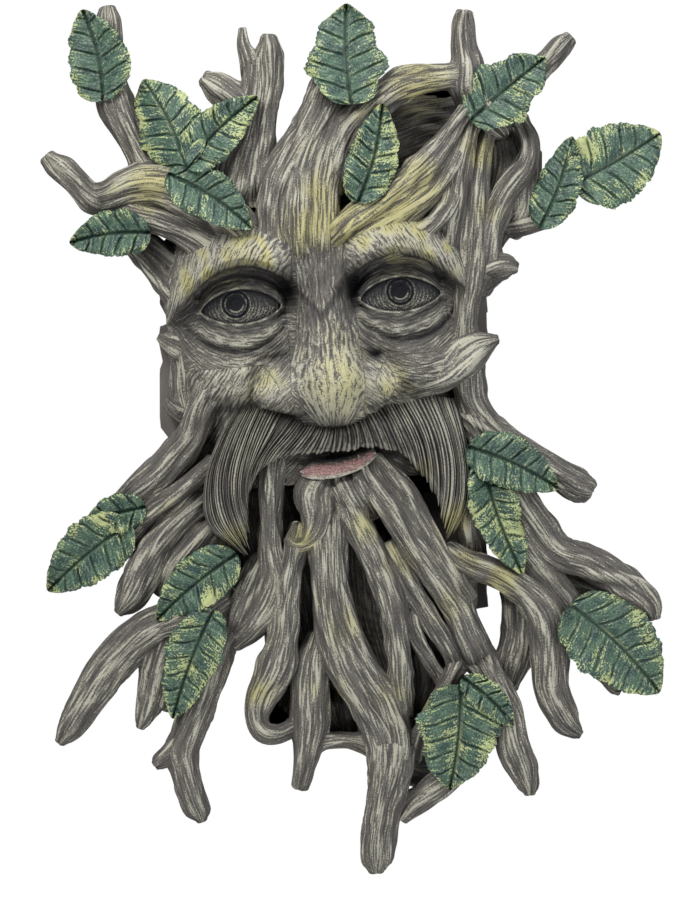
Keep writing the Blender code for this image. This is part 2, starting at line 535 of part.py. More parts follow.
def face_height(u, v):
    """Share of the relief at which the face stands over a place on the sheet."""
    x, y = face_axes(u, v)
    side = np.abs(x - 1.0)
    core = 0.56 * np.sqrt(np.clip(1.0 - (np.abs(x) / (1.02 * head_half(y))) ** 4, 0.0, 1.0))
    core = core * np.sqrt(np.clip(1.0 - ((y - 70.0) / 232.0) ** 2, 0.0, 1.0))
    core = core * (1.0 - 0.62 * ease(150.0, 172.0, y)) * (1.0 - 0.25 * ease(-70.0, -120.0, y))
    above = brow_edge(side) - y
    brow = ease(-4.0, 9.0, above) * (1.0 - 0.8 * ease(14.0, 50.0, above))
    brow = 0.185 * brow * ease(8.0, 36.0, side) * (1.0 - ease(140.0, 164.0, side))
    sockets = 0.145 * hill(side, y, 82.0, -3.0, 50.0, 27.0)
    sockets = sockets + 0.115 * hill(side, y, 33.0, -8.0, 12.0, 28.0)
    height = eye_form(core + brow - sockets, side, y)
    bag_row = 47.0 - 0.0105 * (side - 84.0) ** 2
    height = height - 0.042 * fold(y - bag_row, 4.6) * (1.0 - ease(46.0, 58.0, np.abs(side - 86.0)))
    rise = 101.0 - 0.0085 * (side - 100.0) ** 2 - y
    cheeks = 0.165 * ease(-3.0, 13.0, rise) * (1.0 - ease(26.0, 60.0, rise))
    cheeks = cheeks * ease(64.0, 86.0, side) * (1.0 - 0.7 * ease(120.0, 150.0, side))
    lip = 0.12 * hill(x, y, 6.0, 134.0, 80.0, 20.0)
    mouth = 0.25 * hill(x, y, 8.0, 155.0, 46.0, 6.5)
    return height + np.maximum(cheeks, nose_form(x, y, side)) + lip - mouth


def add_face(clay):
    """Raise a grid to the height of the face and close it down behind the wall."""
    wide = 330.0
    tall = 480.0
    middle_u = FACE_U + 4.0
    middle_v = FACE_V + 70.0
    grid = bmesh.ops.create_grid(clay, x_segments=int(wide / FACE_STEP),
                                 y_segments=int(tall / FACE_STEP), size=0.5)
    flat = np.array([vert.co[:2] for vert in grid["verts"]])
    u = middle_u + wide * flat[:, 0]
    v = middle_v - tall * flat[:, 1]
    height = face_height(u, v)
    inside = height > 0.03
    places = on_sheet(u, v, np.where(inside, RELIEF * height, -BEHIND_WALL / 2))
    for vert, place in zip(grid["verts"], places):
        vert.co = Vector(place)
    faces = list({face for vert in grid["verts"] for face in vert.link_faces})
    rim = [edge for face in faces for edge in face.edges if edge.is_boundary]
    skirt = bmesh.ops.extrude_edge_only(clay, edges=list(set(rim)))
    new_verts = [item for item in skirt["geom"] if isinstance(item, bmesh.types.BMVert)]
    bmesh.ops.translate(clay, verts=new_verts, vec=(0.0, BEHIND_WALL / 2, 0.0))
    new_edges = [item for item in skirt["geom"] if isinstance(item, bmesh.types.BMEdge)]
    bmesh.ops.contextual_create(clay, geom=new_edges)


def largest_island(clay):
    """Keep the outer skin alone: what floats inside it or beside it goes."""
    clay.verts.ensure_lookup_table()
    unseen = set(clay.verts)
    best = set()
    while unseen:
        island = set()
        stack = [unseen.pop()]
        while stack:
            vert = stack.pop()
            island.add(vert)
            for edge in vert.link_edges:
                other = edge.other_vert(vert)
                if other in unseen:
                    unseen.discard(other)
                    stack.append(other)
        if len(island) > len(best):
            best = island
    spare = [vert for vert in clay.verts if vert not in best]
    bmesh.ops.delete(clay, geom=spare, context="VERTS")


def mend_pinches(clay):
    """Part the skin where it only touches itself: take out each pinch and close both sides."""
    pinches = [edge for edge in clay.edges if len(edge.link_faces) > 2]
    loose = {face for edge in pinches for vert in edge.verts for face in vert.link_faces}
    bmesh.ops.delete(clay, geom=list(loose), context="FACES")
    rims = [edge for edge in clay.edges if edge.is_boundary]
    bmesh.ops.holes_fill(clay, edges=rims, sides=0)


def evaluated_mesh(piece):
    """The piece's mesh with its modifiers applied."""
    graph = bpy.context.evaluated_depsgraph_get()
    return bpy.data.meshes.new_from_object(piece.evaluated_get(graph))


def new_object(name, mesh):
    """Link a mesh into the scene under its name."""
    piece = bpy.data.objects.new(name, mesh)
    bpy.context.scene.collection.objects.link(piece)
    return piece


def raw_clay():
    """All limbs, leaves and the face as overlapping closed bodies in one mesh."""
    clay = bmesh.new()
    for region in (CROWN, ROOTS_RIGHT, ROOTS_LEFT, BEARD, BACKING):
        for limb in region.values():
            add_limb(clay, limb)
    for outer, inner in MOUSTACHE.values():
        for lock in moustache_limbs(outer, inner):
            add_limb(clay, lock)
    for leaf in LEAVES.values():
        add_leaf(clay, leaf)
    add_face(clay)
    bmesh.ops.recalc_face_normals(clay, faces=clay.faces)
    mesh = bpy.data.meshes.new("raw_clay")
    clay.to_mesh(mesh)
    clay.free()
    return mesh


def fused_clay():
    """Melt the bodies into one skin, soften it and drop what is sealed inside."""
    piece = new_object("clay", raw_clay())
    melt = piece.modifiers.new("melt", "REMESH")
    melt.mode = "VOXEL"
    melt.voxel_size = CLAY_CELL
    soften = piece.modifiers.new("soften", "SMOOTH")
    soften.factor = 0.5
    soften.iterations = SMOOTH_ROUNDS
    mesh = evaluated_mesh(piece)
    bpy.data.objects.remove(piece)
    skin = bmesh.new()
    skin.from_mesh(mesh)
    mend_pinches(skin)
    largest_island(skin)
    skin.to_mesh(mesh)
    skin.free()
    return mesh


def wall_cutter():
    """A slab behind the wall plane, which leaves the back flat."""
    deep = RELIEF
    bpy.ops.mesh.primitive_cube_add(size=1.0, location=(0.0, deep / 2, 0.0))
    cutter = bpy.context.object
    cutter.name = "wall_cutter"
    cutter.scale = (2 * HEIGHT, deep, 2 * HEIGHT)
    return cutter


def keyhole_cutter():
    """A keyhole pocket: a round entry, a slot above it, and room for the head behind the lip."""
    parts = bmesh.new()
    sideways = Matrix.Rotation(math.radians(90.0), 4, "X")
    chamber = KEYHOLE_DEPTH - KEYHOLE_LIP
    middle = -KEYHOLE_LIP - chamber / 2
    low = KEYHOLE_ABOVE
    high = KEYHOLE_ABOVE + KEYHOLE_TRAVEL
    entry_deep = KEYHOLE_DEPTH + KEYHOLE_LIP
    entry_y = -KEYHOLE_DEPTH + entry_deep / 2
    for radius, deep, y, z in ((KEYHOLE_HEAD / 2, entry_deep, entry_y, low),
                               (KEYHOLE_SLOT / 2, entry_deep, entry_y, high),
                               (KEYHOLE_HEAD / 2, chamber, middle, high)):
        place = Matrix.Translation((0.0, y, z)) @ sideways
        bmesh.ops.create_cone(parts, cap_ends=True, segments=24, radius1=radius,
                              radius2=radius, depth=deep, matrix=place)
    for wide, deep, y in ((KEYHOLE_SLOT, entry_deep, entry_y), (KEYHOLE_HEAD, chamber, middle)):
        place = Matrix.Translation((0.0, y, (low + high) / 2))
        size = Matrix.Diagonal((wide, deep, KEYHOLE_TRAVEL, 1.0))
        bmesh.ops.create_cube(parts, size=1.0, matrix=place @ size)
    mesh = bpy.data.meshes.new("keyhole_cutter")
    parts.to_mesh(mesh)
    parts.free()
    return new_object("keyhole_cutter", mesh)


def as_cutter(piece, cutter):
    """Cut one object out of another and keep the cutter out of sight."""
    cutter.hide_render = True
    cutter.display_type = "WIRE"
    cut = piece.modifiers.new(cutter.name, "BOOLEAN")
    cut.operation = "DIFFERENCE"
    cut.solver = "EXACT"
    cut.use_self = True
    cut.object = cutter


def cast_resin():
    """Painted casting resin, grey-brown and matt."""
    material = bpy.data.materials.new("painted_resin")
    material.use_nodes = True
    shader = material.node_tree.nodes["Principled BSDF"]
    shader.inputs["Base Color"].default_value = (0.22, 0.20, 0.16, 1.0)
    shader.inputs["Roughness"].default_value = 0.75
    shader.inputs["Metallic"].default_value = 0.0
    return material


def build():
    """Make the one casting: fuse the clay, thin its triangles and cut its back."""
    mesh = fused_clay()
    piece = new_object("tree_face", mesh)
    mesh.materials.clear()
    mesh.materials.append(cast_resin())
    thin = piece.modifiers.new("thin", "DECIMATE")
    thin.ratio = TRIANGLES / (2.0 * len(mesh.polygons))
    thin.use_collapse_triangulate = True
    as_cutter(piece, wall_cutter())
    as_cutter(piece, keyhole_cutter())
    mesh.shade_smooth()


for old in list(bpy.data.objects):
    bpy.data.objects.remove(old)
build()
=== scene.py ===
"""Tree face wall plaque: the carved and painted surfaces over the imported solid.

Run in Blender after the part is packed. Places are drawn on a front sheet: u runs right and
v runs down, in sheet steps, and heights above the wall are shares of the relief. Everything
built is in metres: +Z is up, the face looks along -Y and the wall plane is y = 0.
"""

from collections import namedtuple
import math

import bmesh
import bpy
from mathutils import Matrix, Vector
import numpy as np


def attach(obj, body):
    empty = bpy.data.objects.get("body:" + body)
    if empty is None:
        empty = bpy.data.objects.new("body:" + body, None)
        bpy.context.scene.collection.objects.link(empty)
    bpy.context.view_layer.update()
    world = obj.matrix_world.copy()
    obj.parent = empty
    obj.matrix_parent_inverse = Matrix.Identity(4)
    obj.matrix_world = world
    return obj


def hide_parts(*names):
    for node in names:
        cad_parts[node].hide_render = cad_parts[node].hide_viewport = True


bl_info = {
    "name": "Tree face wall plaque",
    "version": (1, 0, 0),
    "blender": (4, 5, 0),
    "location": "3D View > Sidebar > Tree Face",
    "description": "Carved wood, face, hair, leaves and stage of a tree face wall plaque",
    "category": "Add Mesh",
}

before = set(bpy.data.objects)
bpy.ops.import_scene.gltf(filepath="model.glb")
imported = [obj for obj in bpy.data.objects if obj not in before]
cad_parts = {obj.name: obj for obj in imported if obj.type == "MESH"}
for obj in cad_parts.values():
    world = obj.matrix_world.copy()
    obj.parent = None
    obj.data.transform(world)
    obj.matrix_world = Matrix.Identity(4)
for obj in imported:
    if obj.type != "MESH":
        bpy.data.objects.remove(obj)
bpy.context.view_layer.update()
NODE = "tree_face"

# The casting, as in the solid
HEIGHT = 0.300
RELIEF = 0.062
BEHIND_WALL = 0.004

# The front sheet: its middle, the rows that the height covers, and the eye that drew it
SHEET_U = 340.0
SHEET_V = 452.0
SHEET_ROWS = 850.0
UNIT = HEIGHT / SHEET_ROWS
EYE_DISTANCE = 2.5 * HEIGHT

# The swell of the plaque: high behind the mouth, low along the rim
SWELL_U = 338.0
SWELL_V = 420.0
SWELL_WIDE = 230.0
SWELL_TALL = 330.0
RIM_SHARE = 0.08
SWELL_SHARE = 0.42
ROOTED_WITHIN = 0.92
FREE_BEYOND = 1.22

# The face: its middle between the eyes and its lean
FACE_U = 320.0
FACE_V = 298.0
FACE_LEAN = math.radians(-4.5)

# The eyes: their middle out from the face's, half length, corner row and lid heights
EYE_OUT = 80.0
EYE_HALF = 40.0
EYE_CORNER = 4.0
EYE_RISE = 18.5
EYE_DROP = 14.5
BROW_ROW = -38.0

# Buried ends: how deep they sink, in half widths, and over how long a stretch
BURY_DEEP = 1.5
BURY_REACH = 26.0

Limb = namedtuple("Limb", "lift flat stations buried fall", defaults=("both", 0.0))
Leaf = namedtuple("Leaf", "base tip half bow lift_base lift_tip fold roll lobes")

# Limbs: lift above the swell, flatness, stations of u, v and half width, buried ends, and
# how far the lift falls by the end
CROWN = {
    "left_branch": Limb(0.02, 1.0, (
        (108, 9, 8), (109, 22, 13), (111, 48, 12), (113, 78, 14), (116, 102, 19), (128, 129, 16),
        (144, 158, 15), (162, 182, 14)), "end"),
    "horn_stub": Limb(0.02, 1.0, (
        (49, 158, 9), (58, 166, 13), (74, 180, 13), (92, 197, 14), (113, 202, 14)), "end"),
    "horn": Limb(0.09, 0.9, (
        (94, 200, 13), (112, 194, 16), (135, 185, 20), (162, 185, 23), (192, 195, 24), (218, 211, 23),
        (241, 229, 20), (256, 244, 15)), "both", 0.06),
    "horn_under": Limb(0.06, 1.0, (
        (108, 206, 10), (132, 213, 12), (160, 222, 13), (190, 234, 14), (215, 249, 15),
        (240, 264, 12)), "both", 0.06),
    "temple_left": Limb(-0.1, 1.0, (
        (128, 246, 7), (142, 256, 9), (155, 270, 11), (168, 286, 12), (184, 306, 10))),
    "side_left": Limb(-0.24, 1.0, (
        (180, 306, 12), (185, 328, 16), (187, 360, 16), (189, 390, 17), (197, 425, 15))),
    "knob_left_high": Limb(-0.18, 1.0, (
        (192, 352, 12), (178, 346, 12), (166, 340, 9), (160, 337, 4)), "start"),
    "knob_left_low": Limb(-0.18, 1.0, (
        (194, 414, 13), (182, 411, 12), (173, 406, 9), (168, 400, 5)), "start"),
    "prong_thin": Limb(0.0, 1.0, (
        (243, 29, 4), (244, 42, 6), (249, 58, 8), (254, 78, 10)), "end"),
    "prong_thick": Limb(0.01, 1.0, (
        (269, 38, 9), (270, 52, 13), (270, 78, 13), (266, 105, 13), (262, 135, 14), (258, 165, 14),
        (256, 200, 14)), "end"),
    "prong_web": Limb(0.0, 0.8, (
        (257, 60, 12), (256, 90, 15), (252, 120, 15), (244, 150, 19), (236, 182, 21),
        (232, 206, 18)), "end"),
    "side_stub": Limb(-0.01, 1.0, (
        (207, 79, 10), (217, 86, 17), (231, 97, 18), (250, 116, 15)), "end"),
    "brow_strand_outer": Limb(0.06, 0.9, (
        (328, 70, 12), (321, 96, 14), (310, 121, 16), (295, 148, 17), (281, 178, 18), (275, 208, 18),
        (275, 238, 16), (284, 266, 10)), "both", 0.05),
    "brow_strand_middle": Limb(0.08, 0.9, (
        (333, 100, 12), (317, 132, 14), (305, 165, 14), (301, 200, 14), (301, 235, 14),
        (304, 268, 10)), "both", 0.05),
    "brow_strand_inner": Limb(0.08, 0.9, (
        (350, 112, 13), (334, 148, 15), (326, 186, 15), (325, 224, 14), (324, 262, 10)), "both", 0.05),
    "arch": Limb(0.07, 1.0, (
        (468, 76, 13), (449, 76, 14), (428, 78, 15), (405, 83, 17), (384, 96, 17), (364, 113, 17),
        (347, 134, 16), (337, 160, 14), (334, 188, 12))),
    "arch_stub": Limb(0.03, 1.0, (
        (464, 14, 9), (464, 27, 12), (465, 46, 12), (468, 66, 16), (466, 88, 17),
        (468, 108, 10)), "end"),
    "right_branch": Limb(0.0, 1.0, (
        (569, 38, 8), (562, 45, 12), (550, 59, 12), (534, 76, 12), (519, 96, 13),
        (508, 118, 12)), "end"),
    "arch_tie": Limb(0.02, 1.0, (
        (470, 84, 15), (482, 102, 14), (494, 120, 13), (504, 132, 10))),
    "diagonal_high": Limb(0.09, 1.0, (
        (466, 110, 7), (455, 126, 10), (438, 150, 13), (412, 177, 14), (383, 199, 14), (353, 219, 13),
        (330, 242, 11)), "end"),
    "diagonal_low": Limb(0.06, 1.0, (
        (462, 136, 9), (451, 164, 11), (432, 190, 12), (403, 211, 13), (372, 229, 12), (346, 248, 10))),
    "brow_strand_right": Limb(0.07, 1.0, (
        (455, 178, 9), (449, 204, 10), (431, 226, 10), (405, 241, 10), (376, 254, 8)), "both", 0.05),
    "right_strand_inner": Limb(0.06, 1.0, (
        (472, 122, 9), (463, 160, 11), (456, 198, 12), (450, 234, 12), (452, 264, 10)), "both", 0.15),
    "right_strand_outer": Limb(0.02, 1.0, (
        (488, 134, 7), (482, 166, 9), (478, 202, 11), (475, 240, 13), (472, 276, 13), (468, 304, 12),
        (465, 332, 12), (464, 358, 11)), "both", 0.17),
    "right_shoulder": Limb(0.01, 1.0, (
        (521, 119, 8), (530, 142, 9), (527, 163, 12), (511, 184, 13), (498, 208, 13), (490, 234, 14),
        (487, 262, 13), (478, 290, 12)), "both", 0.12),
    "right_plank": Limb(-0.08, 0.6, (
        (530, 152, 11), (525, 184, 18), (523, 208, 20), (510, 227, 14))),
    "plank_end": Limb(-0.07, 0.8, (
        (508, 228, 9), (524, 225, 10), (546, 220, 9)), "start"),
    "stub_right": Limb(-0.03, 1.0, (
        (482, 276, 16), (498, 268, 14), (509, 266, 12), (515, 267, 7)), "start"),
    "ear_burl": Limb(0.05, 0.8, (
        (406, 388, 8), (430, 382, 11), (450, 371, 16), (466, 356, 20), (478, 347, 17), (488, 342, 11),
        (497, 339, 5)), "start"),
}

ROOTS_RIGHT = {
    "cheek_strand": Limb(-0.03, 1.0, (
        (470, 352, 13), (470, 378, 15), (474, 402, 16), (491, 427, 15), (521, 449, 14),
        (552, 469, 15), (577, 484, 18), (587, 488, 14)), "start"),
    "second_root": Limb(0.01, 1.0, (
        (470, 410, 14), (490, 446, 15), (508, 474, 16), (530, 512, 17), (557, 548, 17),
        (590, 562, 18), (618, 579, 18), (641, 597, 17), (651, 608, 13), (654, 616, 7)), "start"),
    "third_root": Limb(0.05, 1.0, (
        (450, 548, 9), (470, 563, 13), (500, 575, 14), (528, 593, 16), (547, 620, 20), (550, 655, 19),
        (551, 688, 18), (565, 718, 15), (576, 730, 9), (580, 733, 5)), "start"),
    "root_between": Limb(0.0, 1.0, (
        (502, 520, 14), (528, 555, 15), (555, 586, 14), (574, 615, 13), (583, 644, 12),
        (601, 669, 10), (619, 688, 8))),
    "leaf_rest": Limb(-0.04, 0.7, (
        (572, 600, 9), (594, 610, 10), (610, 632, 10), (622, 655, 8))),
    "hole_side_left": Limb(-0.06, 0.9, (
        (466, 552, 15), (465, 588, 11), (468, 618, 10), (480, 648, 12))),
    "hole_side_right": Limb(-0.12, 0.8, (
        (518, 590, 16), (518, 635, 17), (513, 662, 18), (509, 684, 10))),
    "beard_side_right": Limb(0.0, 1.0, (
        (478, 486, 12), (472, 518, 13), (474, 552, 13))),
    "lower_right_root": Limb(0.04, 1.0, (
        (478, 654, 15), (494, 684, 16), (508, 715, 17), (514, 745, 17), (524, 772, 15),
        (529, 786, 11), (530, 792, 6)), "start"),
    "leaf_branch": Limb(0.04, 1.0, (
        (460, 660, 10), (447, 684, 8), (431, 708, 7), (420, 732, 7), (413, 757, 9))),
    "bottom_branch": Limb(-0.02, 0.8, (
        (403, 817, 7), (413, 804, 13), (425, 795, 14), (440, 784, 15), (456, 772, 12), (464, 750, 12),
        (466, 715, 12), (464, 680, 10)), "end"),
}

ROOTS_LEFT = {
    "thick_root": Limb(0.0, 1.0, (
        (218, 376, 12), (203, 404, 15), (191, 436, 16), (168, 463, 17), (146, 483, 17),
        (128, 497, 13), (116, 505, 9))),
    "pale_root": Limb(0.04, 1.0, (
        (214, 462, 9), (190, 482, 9), (166, 500, 9), (149, 514, 9), (133, 528, 7))),
    "leaf_root_left": Limb(-0.03, 0.9, (
        (150, 512, 10), (133, 533, 12), (113, 546, 11), (92, 552, 8))),
    "hanging_root": Limb(0.0, 1.0, (
        (205, 498, 13), (184, 516, 14), (164, 538, 16), (147, 566, 18), (134, 592, 17),
        (124, 606, 11), (120, 611, 6)), "start"),
    "inner_root": Limb(-0.02, 0.9, (
        (216, 520, 14), (196, 545, 14), (178, 568, 15), (168, 592, 14))),
    "long_root": Limb(0.03, 0.9, (
        (226, 590, 17), (202, 606, 19), (176, 618, 20), (150, 629, 20), (125, 651, 20),
        (104, 675, 20), (87, 702, 18), (73, 724, 15), (66, 734, 11), (61, 741, 6)), "start"),
    "short_root": Limb(0.0, 1.0, (
        (174, 618, 13), (164, 642, 13), (155, 668, 14), (150, 698, 14), (144, 718, 10),
        (141, 726, 5)), "start"),
    "bark_strip": Limb(-0.01, 0.9, (
        (180, 622, 10), (175, 652, 10), (172, 684, 10), (165, 706, 9)), "start"),
    "twig_root": Limb(-0.01, 1.0, (
        (226, 625, 15), (215, 662, 16), (203, 698, 16), (190, 728, 17), (183, 753, 16),
        (188, 780, 14), (195, 802, 14), (200, 813, 12), (202, 819, 6)), "start"),
    "twig_stub": Limb(0.0, 1.0, (
        (186, 734, 9), (170, 752, 10), (160, 761, 8), (157, 764, 5)), "start"),
    "left_column": Limb(0.0, 1.0, (
        (276, 448, 8), (273, 470, 12), (271, 508, 12), (271, 545, 12), (276, 578, 15), (268, 604, 16),
        (251, 628, 14), (236, 642, 10))),
    "column_side": Limb(-0.04, 0.9, (
        (262, 560, 12), (249, 590, 15), (238, 617, 14), (230, 640, 9))),
}

BEARD = {
    "goatee": Limb(0.07, 1.0, (
        (322, 480, 17), (316, 494, 20), (318, 512, 17), (315, 529, 12), (306, 542, 8), (296, 544, 6),
        (288, 538, 4)), "start"),
    "chin": Limb(0.05, 0.8, (
        (345, 476, 20), (354, 494, 20), (366, 514, 17))),
    "loop_root": Limb(0.03, 1.0, (
        (300, 526, 9), (294, 560, 11), (288, 600, 14), (284, 636, 17), (276, 668, 19), (262, 696, 16),
        (258, 716, 13), (265, 730, 11), (280, 732, 9), (296, 724, 8))),
    "fork_root": Limb(-0.01, 1.0, (
        (318, 636, 10), (312, 664, 16), (311, 696, 20), (311, 722, 19), (308, 745, 15),
        (304, 768, 11), (300, 785, 9)), "start"),
    "fork_web": Limb(-0.03, 1.0, (
        (312, 744, 8), (332, 740, 9), (352, 740, 9), (376, 745, 11))),
    "centre_root_left": Limb(0.05, 1.0, (
        (323, 506, 10), (321, 545, 11), (323, 590, 12), (329, 630, 13), (341, 668, 13),
        (360, 702, 13), (378, 738, 14), (385, 770, 14))),
    "centre_root_right": Limb(0.04, 1.0, (
        (338, 498, 10), (336, 540, 11), (340, 595, 11), (351, 638, 14), (369, 673, 15),
        (388, 704, 15), (398, 738, 15), (394, 770, 14))),
    "tap_root": Limb(0.02, 1.0, (
        (393, 736, 24), (391, 770, 22), (385, 800, 18), (379, 832, 18), (377, 858, 17),
        (377, 868, 10)), "start"),
    "middle_root": Limb(0.06, 1.0, (
        (341, 482, 12), (358, 522, 14), (377, 562, 15), (392, 602, 15), (398, 645, 13),
        (401, 682, 12), (406, 712, 9))),
    "right_root": Limb(0.07, 1.0, (
        (362, 460, 11), (370, 480, 12), (393, 513, 13), (414, 546, 13), (438, 580, 13),
        (457, 608, 14), (470, 636, 15), (483, 662, 15))),
    "right_root_under": Limb(0.03, 1.0, (
        (390, 545, 9), (410, 584, 11), (430, 618, 11), (447, 645, 10), (460, 670, 9))),
    "cross_root": Limb(0.02, 1.0, (
        (408, 600, 6), (414, 630, 7), (427, 655, 7), (442, 678, 7))),
    "outer_root": Limb(0.04, 1.0, (
        (378, 458, 9), (399, 484, 11), (417, 512, 11), (434, 542, 10), (450, 570, 10), (468, 598, 9))),
}

# Low webs of casting that close the dark hollows between limbs
BACKING = {
    "crown_floor": Limb(-0.34, 0.5, (
        (330, 150, 35), (380, 148, 42), (430, 130, 38), (470, 124, 32))),
    "crown_floor_low": Limb(-0.16, 0.5, (
        (345, 205, 20), (372, 195, 22), (405, 190, 20), (440, 214, 20), (462, 250, 18),
        (462, 280, 14))),
    "brow_floor": Limb(-0.02, 0.5, (
        (330, 232, 14), (370, 246, 14), (410, 250, 14), (444, 262, 14))),
    "crown_wall": Limb(-0.16, 0.5, (
        (500, 128, 22), (506, 165, 26), (496, 205, 26), (480, 235, 24))),
    "crown_left": Limb(-0.16, 0.6, (
        (205, 196, 16), (238, 182, 30), (270, 175, 30))),
    "horn_floor": Limb(-0.12, 0.6, (
        (140, 238, 11), (156, 252, 14), (172, 266, 15), (190, 278, 13))),
    "beard_floor": Limb(-0.42, 0.6, (
        (355, 540, 62), (360, 600, 62), (372, 650, 54), (388, 690, 40))),
    "beard_floor_left": Limb(-0.34, 0.6, (
        (265, 480, 28), (272, 530, 34), (290, 590, 34), (300, 640, 32), (296, 690, 28),
        (280, 718, 17))),
    "beard_floor_right": Limb(-0.28, 0.6, (
        (412, 585, 22), (430, 628, 26), (444, 668, 22))),
    "fork_floor": Limb(-0.26, 0.6, (
        (340, 690, 20), (346, 716, 20), (352, 736, 14))),
    "left_floor": Limb(-0.28, 0.6, (
        (222, 440, 26), (206, 480, 28), (207, 520, 28), (216, 554, 24), (232, 582, 18))),
    "root_shadow_left": Limb(-0.1, 0.7, (
        (178, 474, 12), (160, 490, 12), (146, 500, 9))),
    "root_shadow_right": Limb(-0.2, 0.6, (
        (498, 500, 24), (526, 545, 20), (562, 572, 13), (596, 586, 10), (626, 600, 10))),
    "branch_floor": Limb(-0.16, 0.7, (
        (412, 712, 11), (407, 740, 13), (414, 768, 15), (438, 770, 15))),
    "fork_floor_right": Limb(-0.22, 0.6, (
        (418, 640, 18), (424, 680, 20), (418, 715, 12))),
}

# Leaves: base and tip on the sheet, half width, sideways bow, lifts, fold, roll and lobes
LEAVES = {
    "leaf_top_left": Leaf((104, 101), (83, 9), 30, 5, 0.10, 0.07, 0.05, 0.03, 0.00),
    "leaf_pair_left": Leaf((187, 167), (144, 79), 33, 5, 0.20, 0.10, -0.05, 0.03, 0.07),
    "leaf_pair_right": Leaf((187, 167), (258, 96), 24, -4, 0.20, 0.13, 0.05, 0.00, 0.00),
    "leaf_on_horn": Leaf((168, 173), (252, 228), 25, -5, 0.20, 0.16, 0.05, 0.04, 0.00),
    "leaf_under_horn": Leaf((151, 232), (70, 242), 23, 4, 0.10, 0.04, 0.05, 0.02, 0.00),
    "leaf_crown": Leaf((352, 104), (347, 3), 37, -3, 0.18, 0.06, 0.05, 0.02, 0.10),
    "leaf_arch": Leaf((358, 203), (383, 103), 25, 5, 0.12, 0.17, 0.04, 0.00, 0.00),
    "leaf_right_branch": Leaf((471, 120), (546, 57), 31, -1, 0.10, 0.07, 0.05, 0.03, 0.10),
    "leaf_folded_inner": Leaf((540, 228), (573, 136), 22, 4, 0.06, 0.05, 0.00, 0.08, 0.00),
    "leaf_folded_outer": Leaf((572, 185), (661, 133), 40, 2, 0.09, 0.03, 0.03, 0.03, 0.00),
    "leaf_cheek": Leaf((468, 446), (559, 488), 26, -4, 0.11, 0.10, 0.05, 0.02, 0.00),
    "leaf_hanging": Leaf((482, 458), (523, 574), 24, 4, 0.10, 0.09, 0.04, 0.03, 0.06),
    "leaf_right_root": Leaf((570, 604), (660, 692), 42, -5, 0.09, 0.02, 0.05, 0.06, 0.05),
    "leaf_bottom": Leaf((461, 684), (450, 789), 39, -3, 0.13, 0.06, 0.05, 0.02, 0.07),
    "leaf_bottom_small": Leaf((463, 677), (514, 725), 16, -3, 0.13, 0.12, 0.03, 0.00, 0.00),
    "leaf_left_root": Leaf((146, 506), (85, 525), 19, 2, 0.09, 0.05, 0.04, 0.03, 0.00),
    "leaf_left_low": Leaf((130, 522), (48, 590), 31, 3, 0.07, 0.01, 0.05, 0.04, 0.00),
    "leaf_beard": Leaf((237, 553), (157, 619), 26, 3, 0.10, 0.11, 0.05, 0.02, 0.00),
    "leaf_twig": Leaf((214, 608), (173, 718), 27, 3, 0.11, 0.09, 0.04, 0.02, 0.04),
}


# Hairs of the moustache from the left edge to the right, root to tip: u, v and lift
HAIR_NET = (
    ((240, 402, 0.00), (219, 438, 0.08), (205, 480, 0.11), (208, 524, 0.12), (244, 555, 0.10)),
    ((248, 401, 0.03), (228, 438, 0.13), (216, 480, 0.15), (221, 520, 0.15), (247, 555, 0.10)),
    ((257, 401, 0.05), (240, 437, 0.16), (230, 474, 0.17), (233, 510, 0.16), (250, 552, 0.09)),
    ((270, 403, 0.06), (256, 434, 0.17), (246, 466, 0.18), (243, 494, 0.16), (250, 528, 0.08)),
    ((289, 408, 0.08), (276, 430, 0.18), (263, 450, 0.18), (253, 470, 0.15), (249, 498, 0.07)),
    ((303, 414, 0.10), (294, 428, 0.19), (284, 440, 0.19), (273, 452, 0.16), (262, 470, 0.08)),
    ((316, 420, 0.12), (311, 430, 0.20), (304, 440, 0.20), (297, 448, 0.17), (289, 456, 0.10)),
    ((329, 424, 0.13), (328, 432, 0.20), (325, 440, 0.20), (322, 447, 0.18), (319, 454, 0.11)),
    ((344, 421, 0.12), (346, 429, 0.20), (347, 437, 0.20), (347, 445, 0.18), (346, 452, 0.11)),
    ((360, 412, 0.10), (366, 422, 0.19), (370, 432, 0.19), (372, 440, 0.17), (374, 448, 0.10)),
    ((376, 404, 0.08), (386, 420, 0.18), (392, 433, 0.18), (397, 444, 0.15), (401, 455, 0.09)),
    ((394, 399, 0.06), (407, 422, 0.17), (416, 441, 0.17), (421, 459, 0.15), (424, 478, 0.08)),
    ((414, 397, 0.04), (429, 426, 0.16), (437, 452, 0.17), (440, 480, 0.16), (438, 508, 0.08)),
    ((436, 396, 0.02), (449, 430, 0.14), (456, 464, 0.16), (455, 498, 0.15), (446, 534, 0.09)),
    ((456, 398, 0.00), (465, 432, 0.10), (471, 468, 0.12), (469, 506, 0.13), (447, 544, 0.09)),
)

# The lower lip from its left end to its right, mouth to rim: u, v and lift
LOWER_LIP = (
    ((300, 470, 0.05), (301, 473, 0.06), (302, 476, 0.05)),
    ((311, 461, 0.03), (312, 470, 0.08), (314, 479, 0.09)),
    ((329, 459, 0.02), (331, 469, 0.09), (333, 478, 0.11)),
    ((347, 456, 0.02), (349, 465, 0.09), (351, 473, 0.11)),
    ((362, 451, 0.03), (364, 459, 0.08), (366, 466, 0.09)),
    ((374, 447, 0.05), (376, 451, 0.06), (378, 455, 0.05)),
)

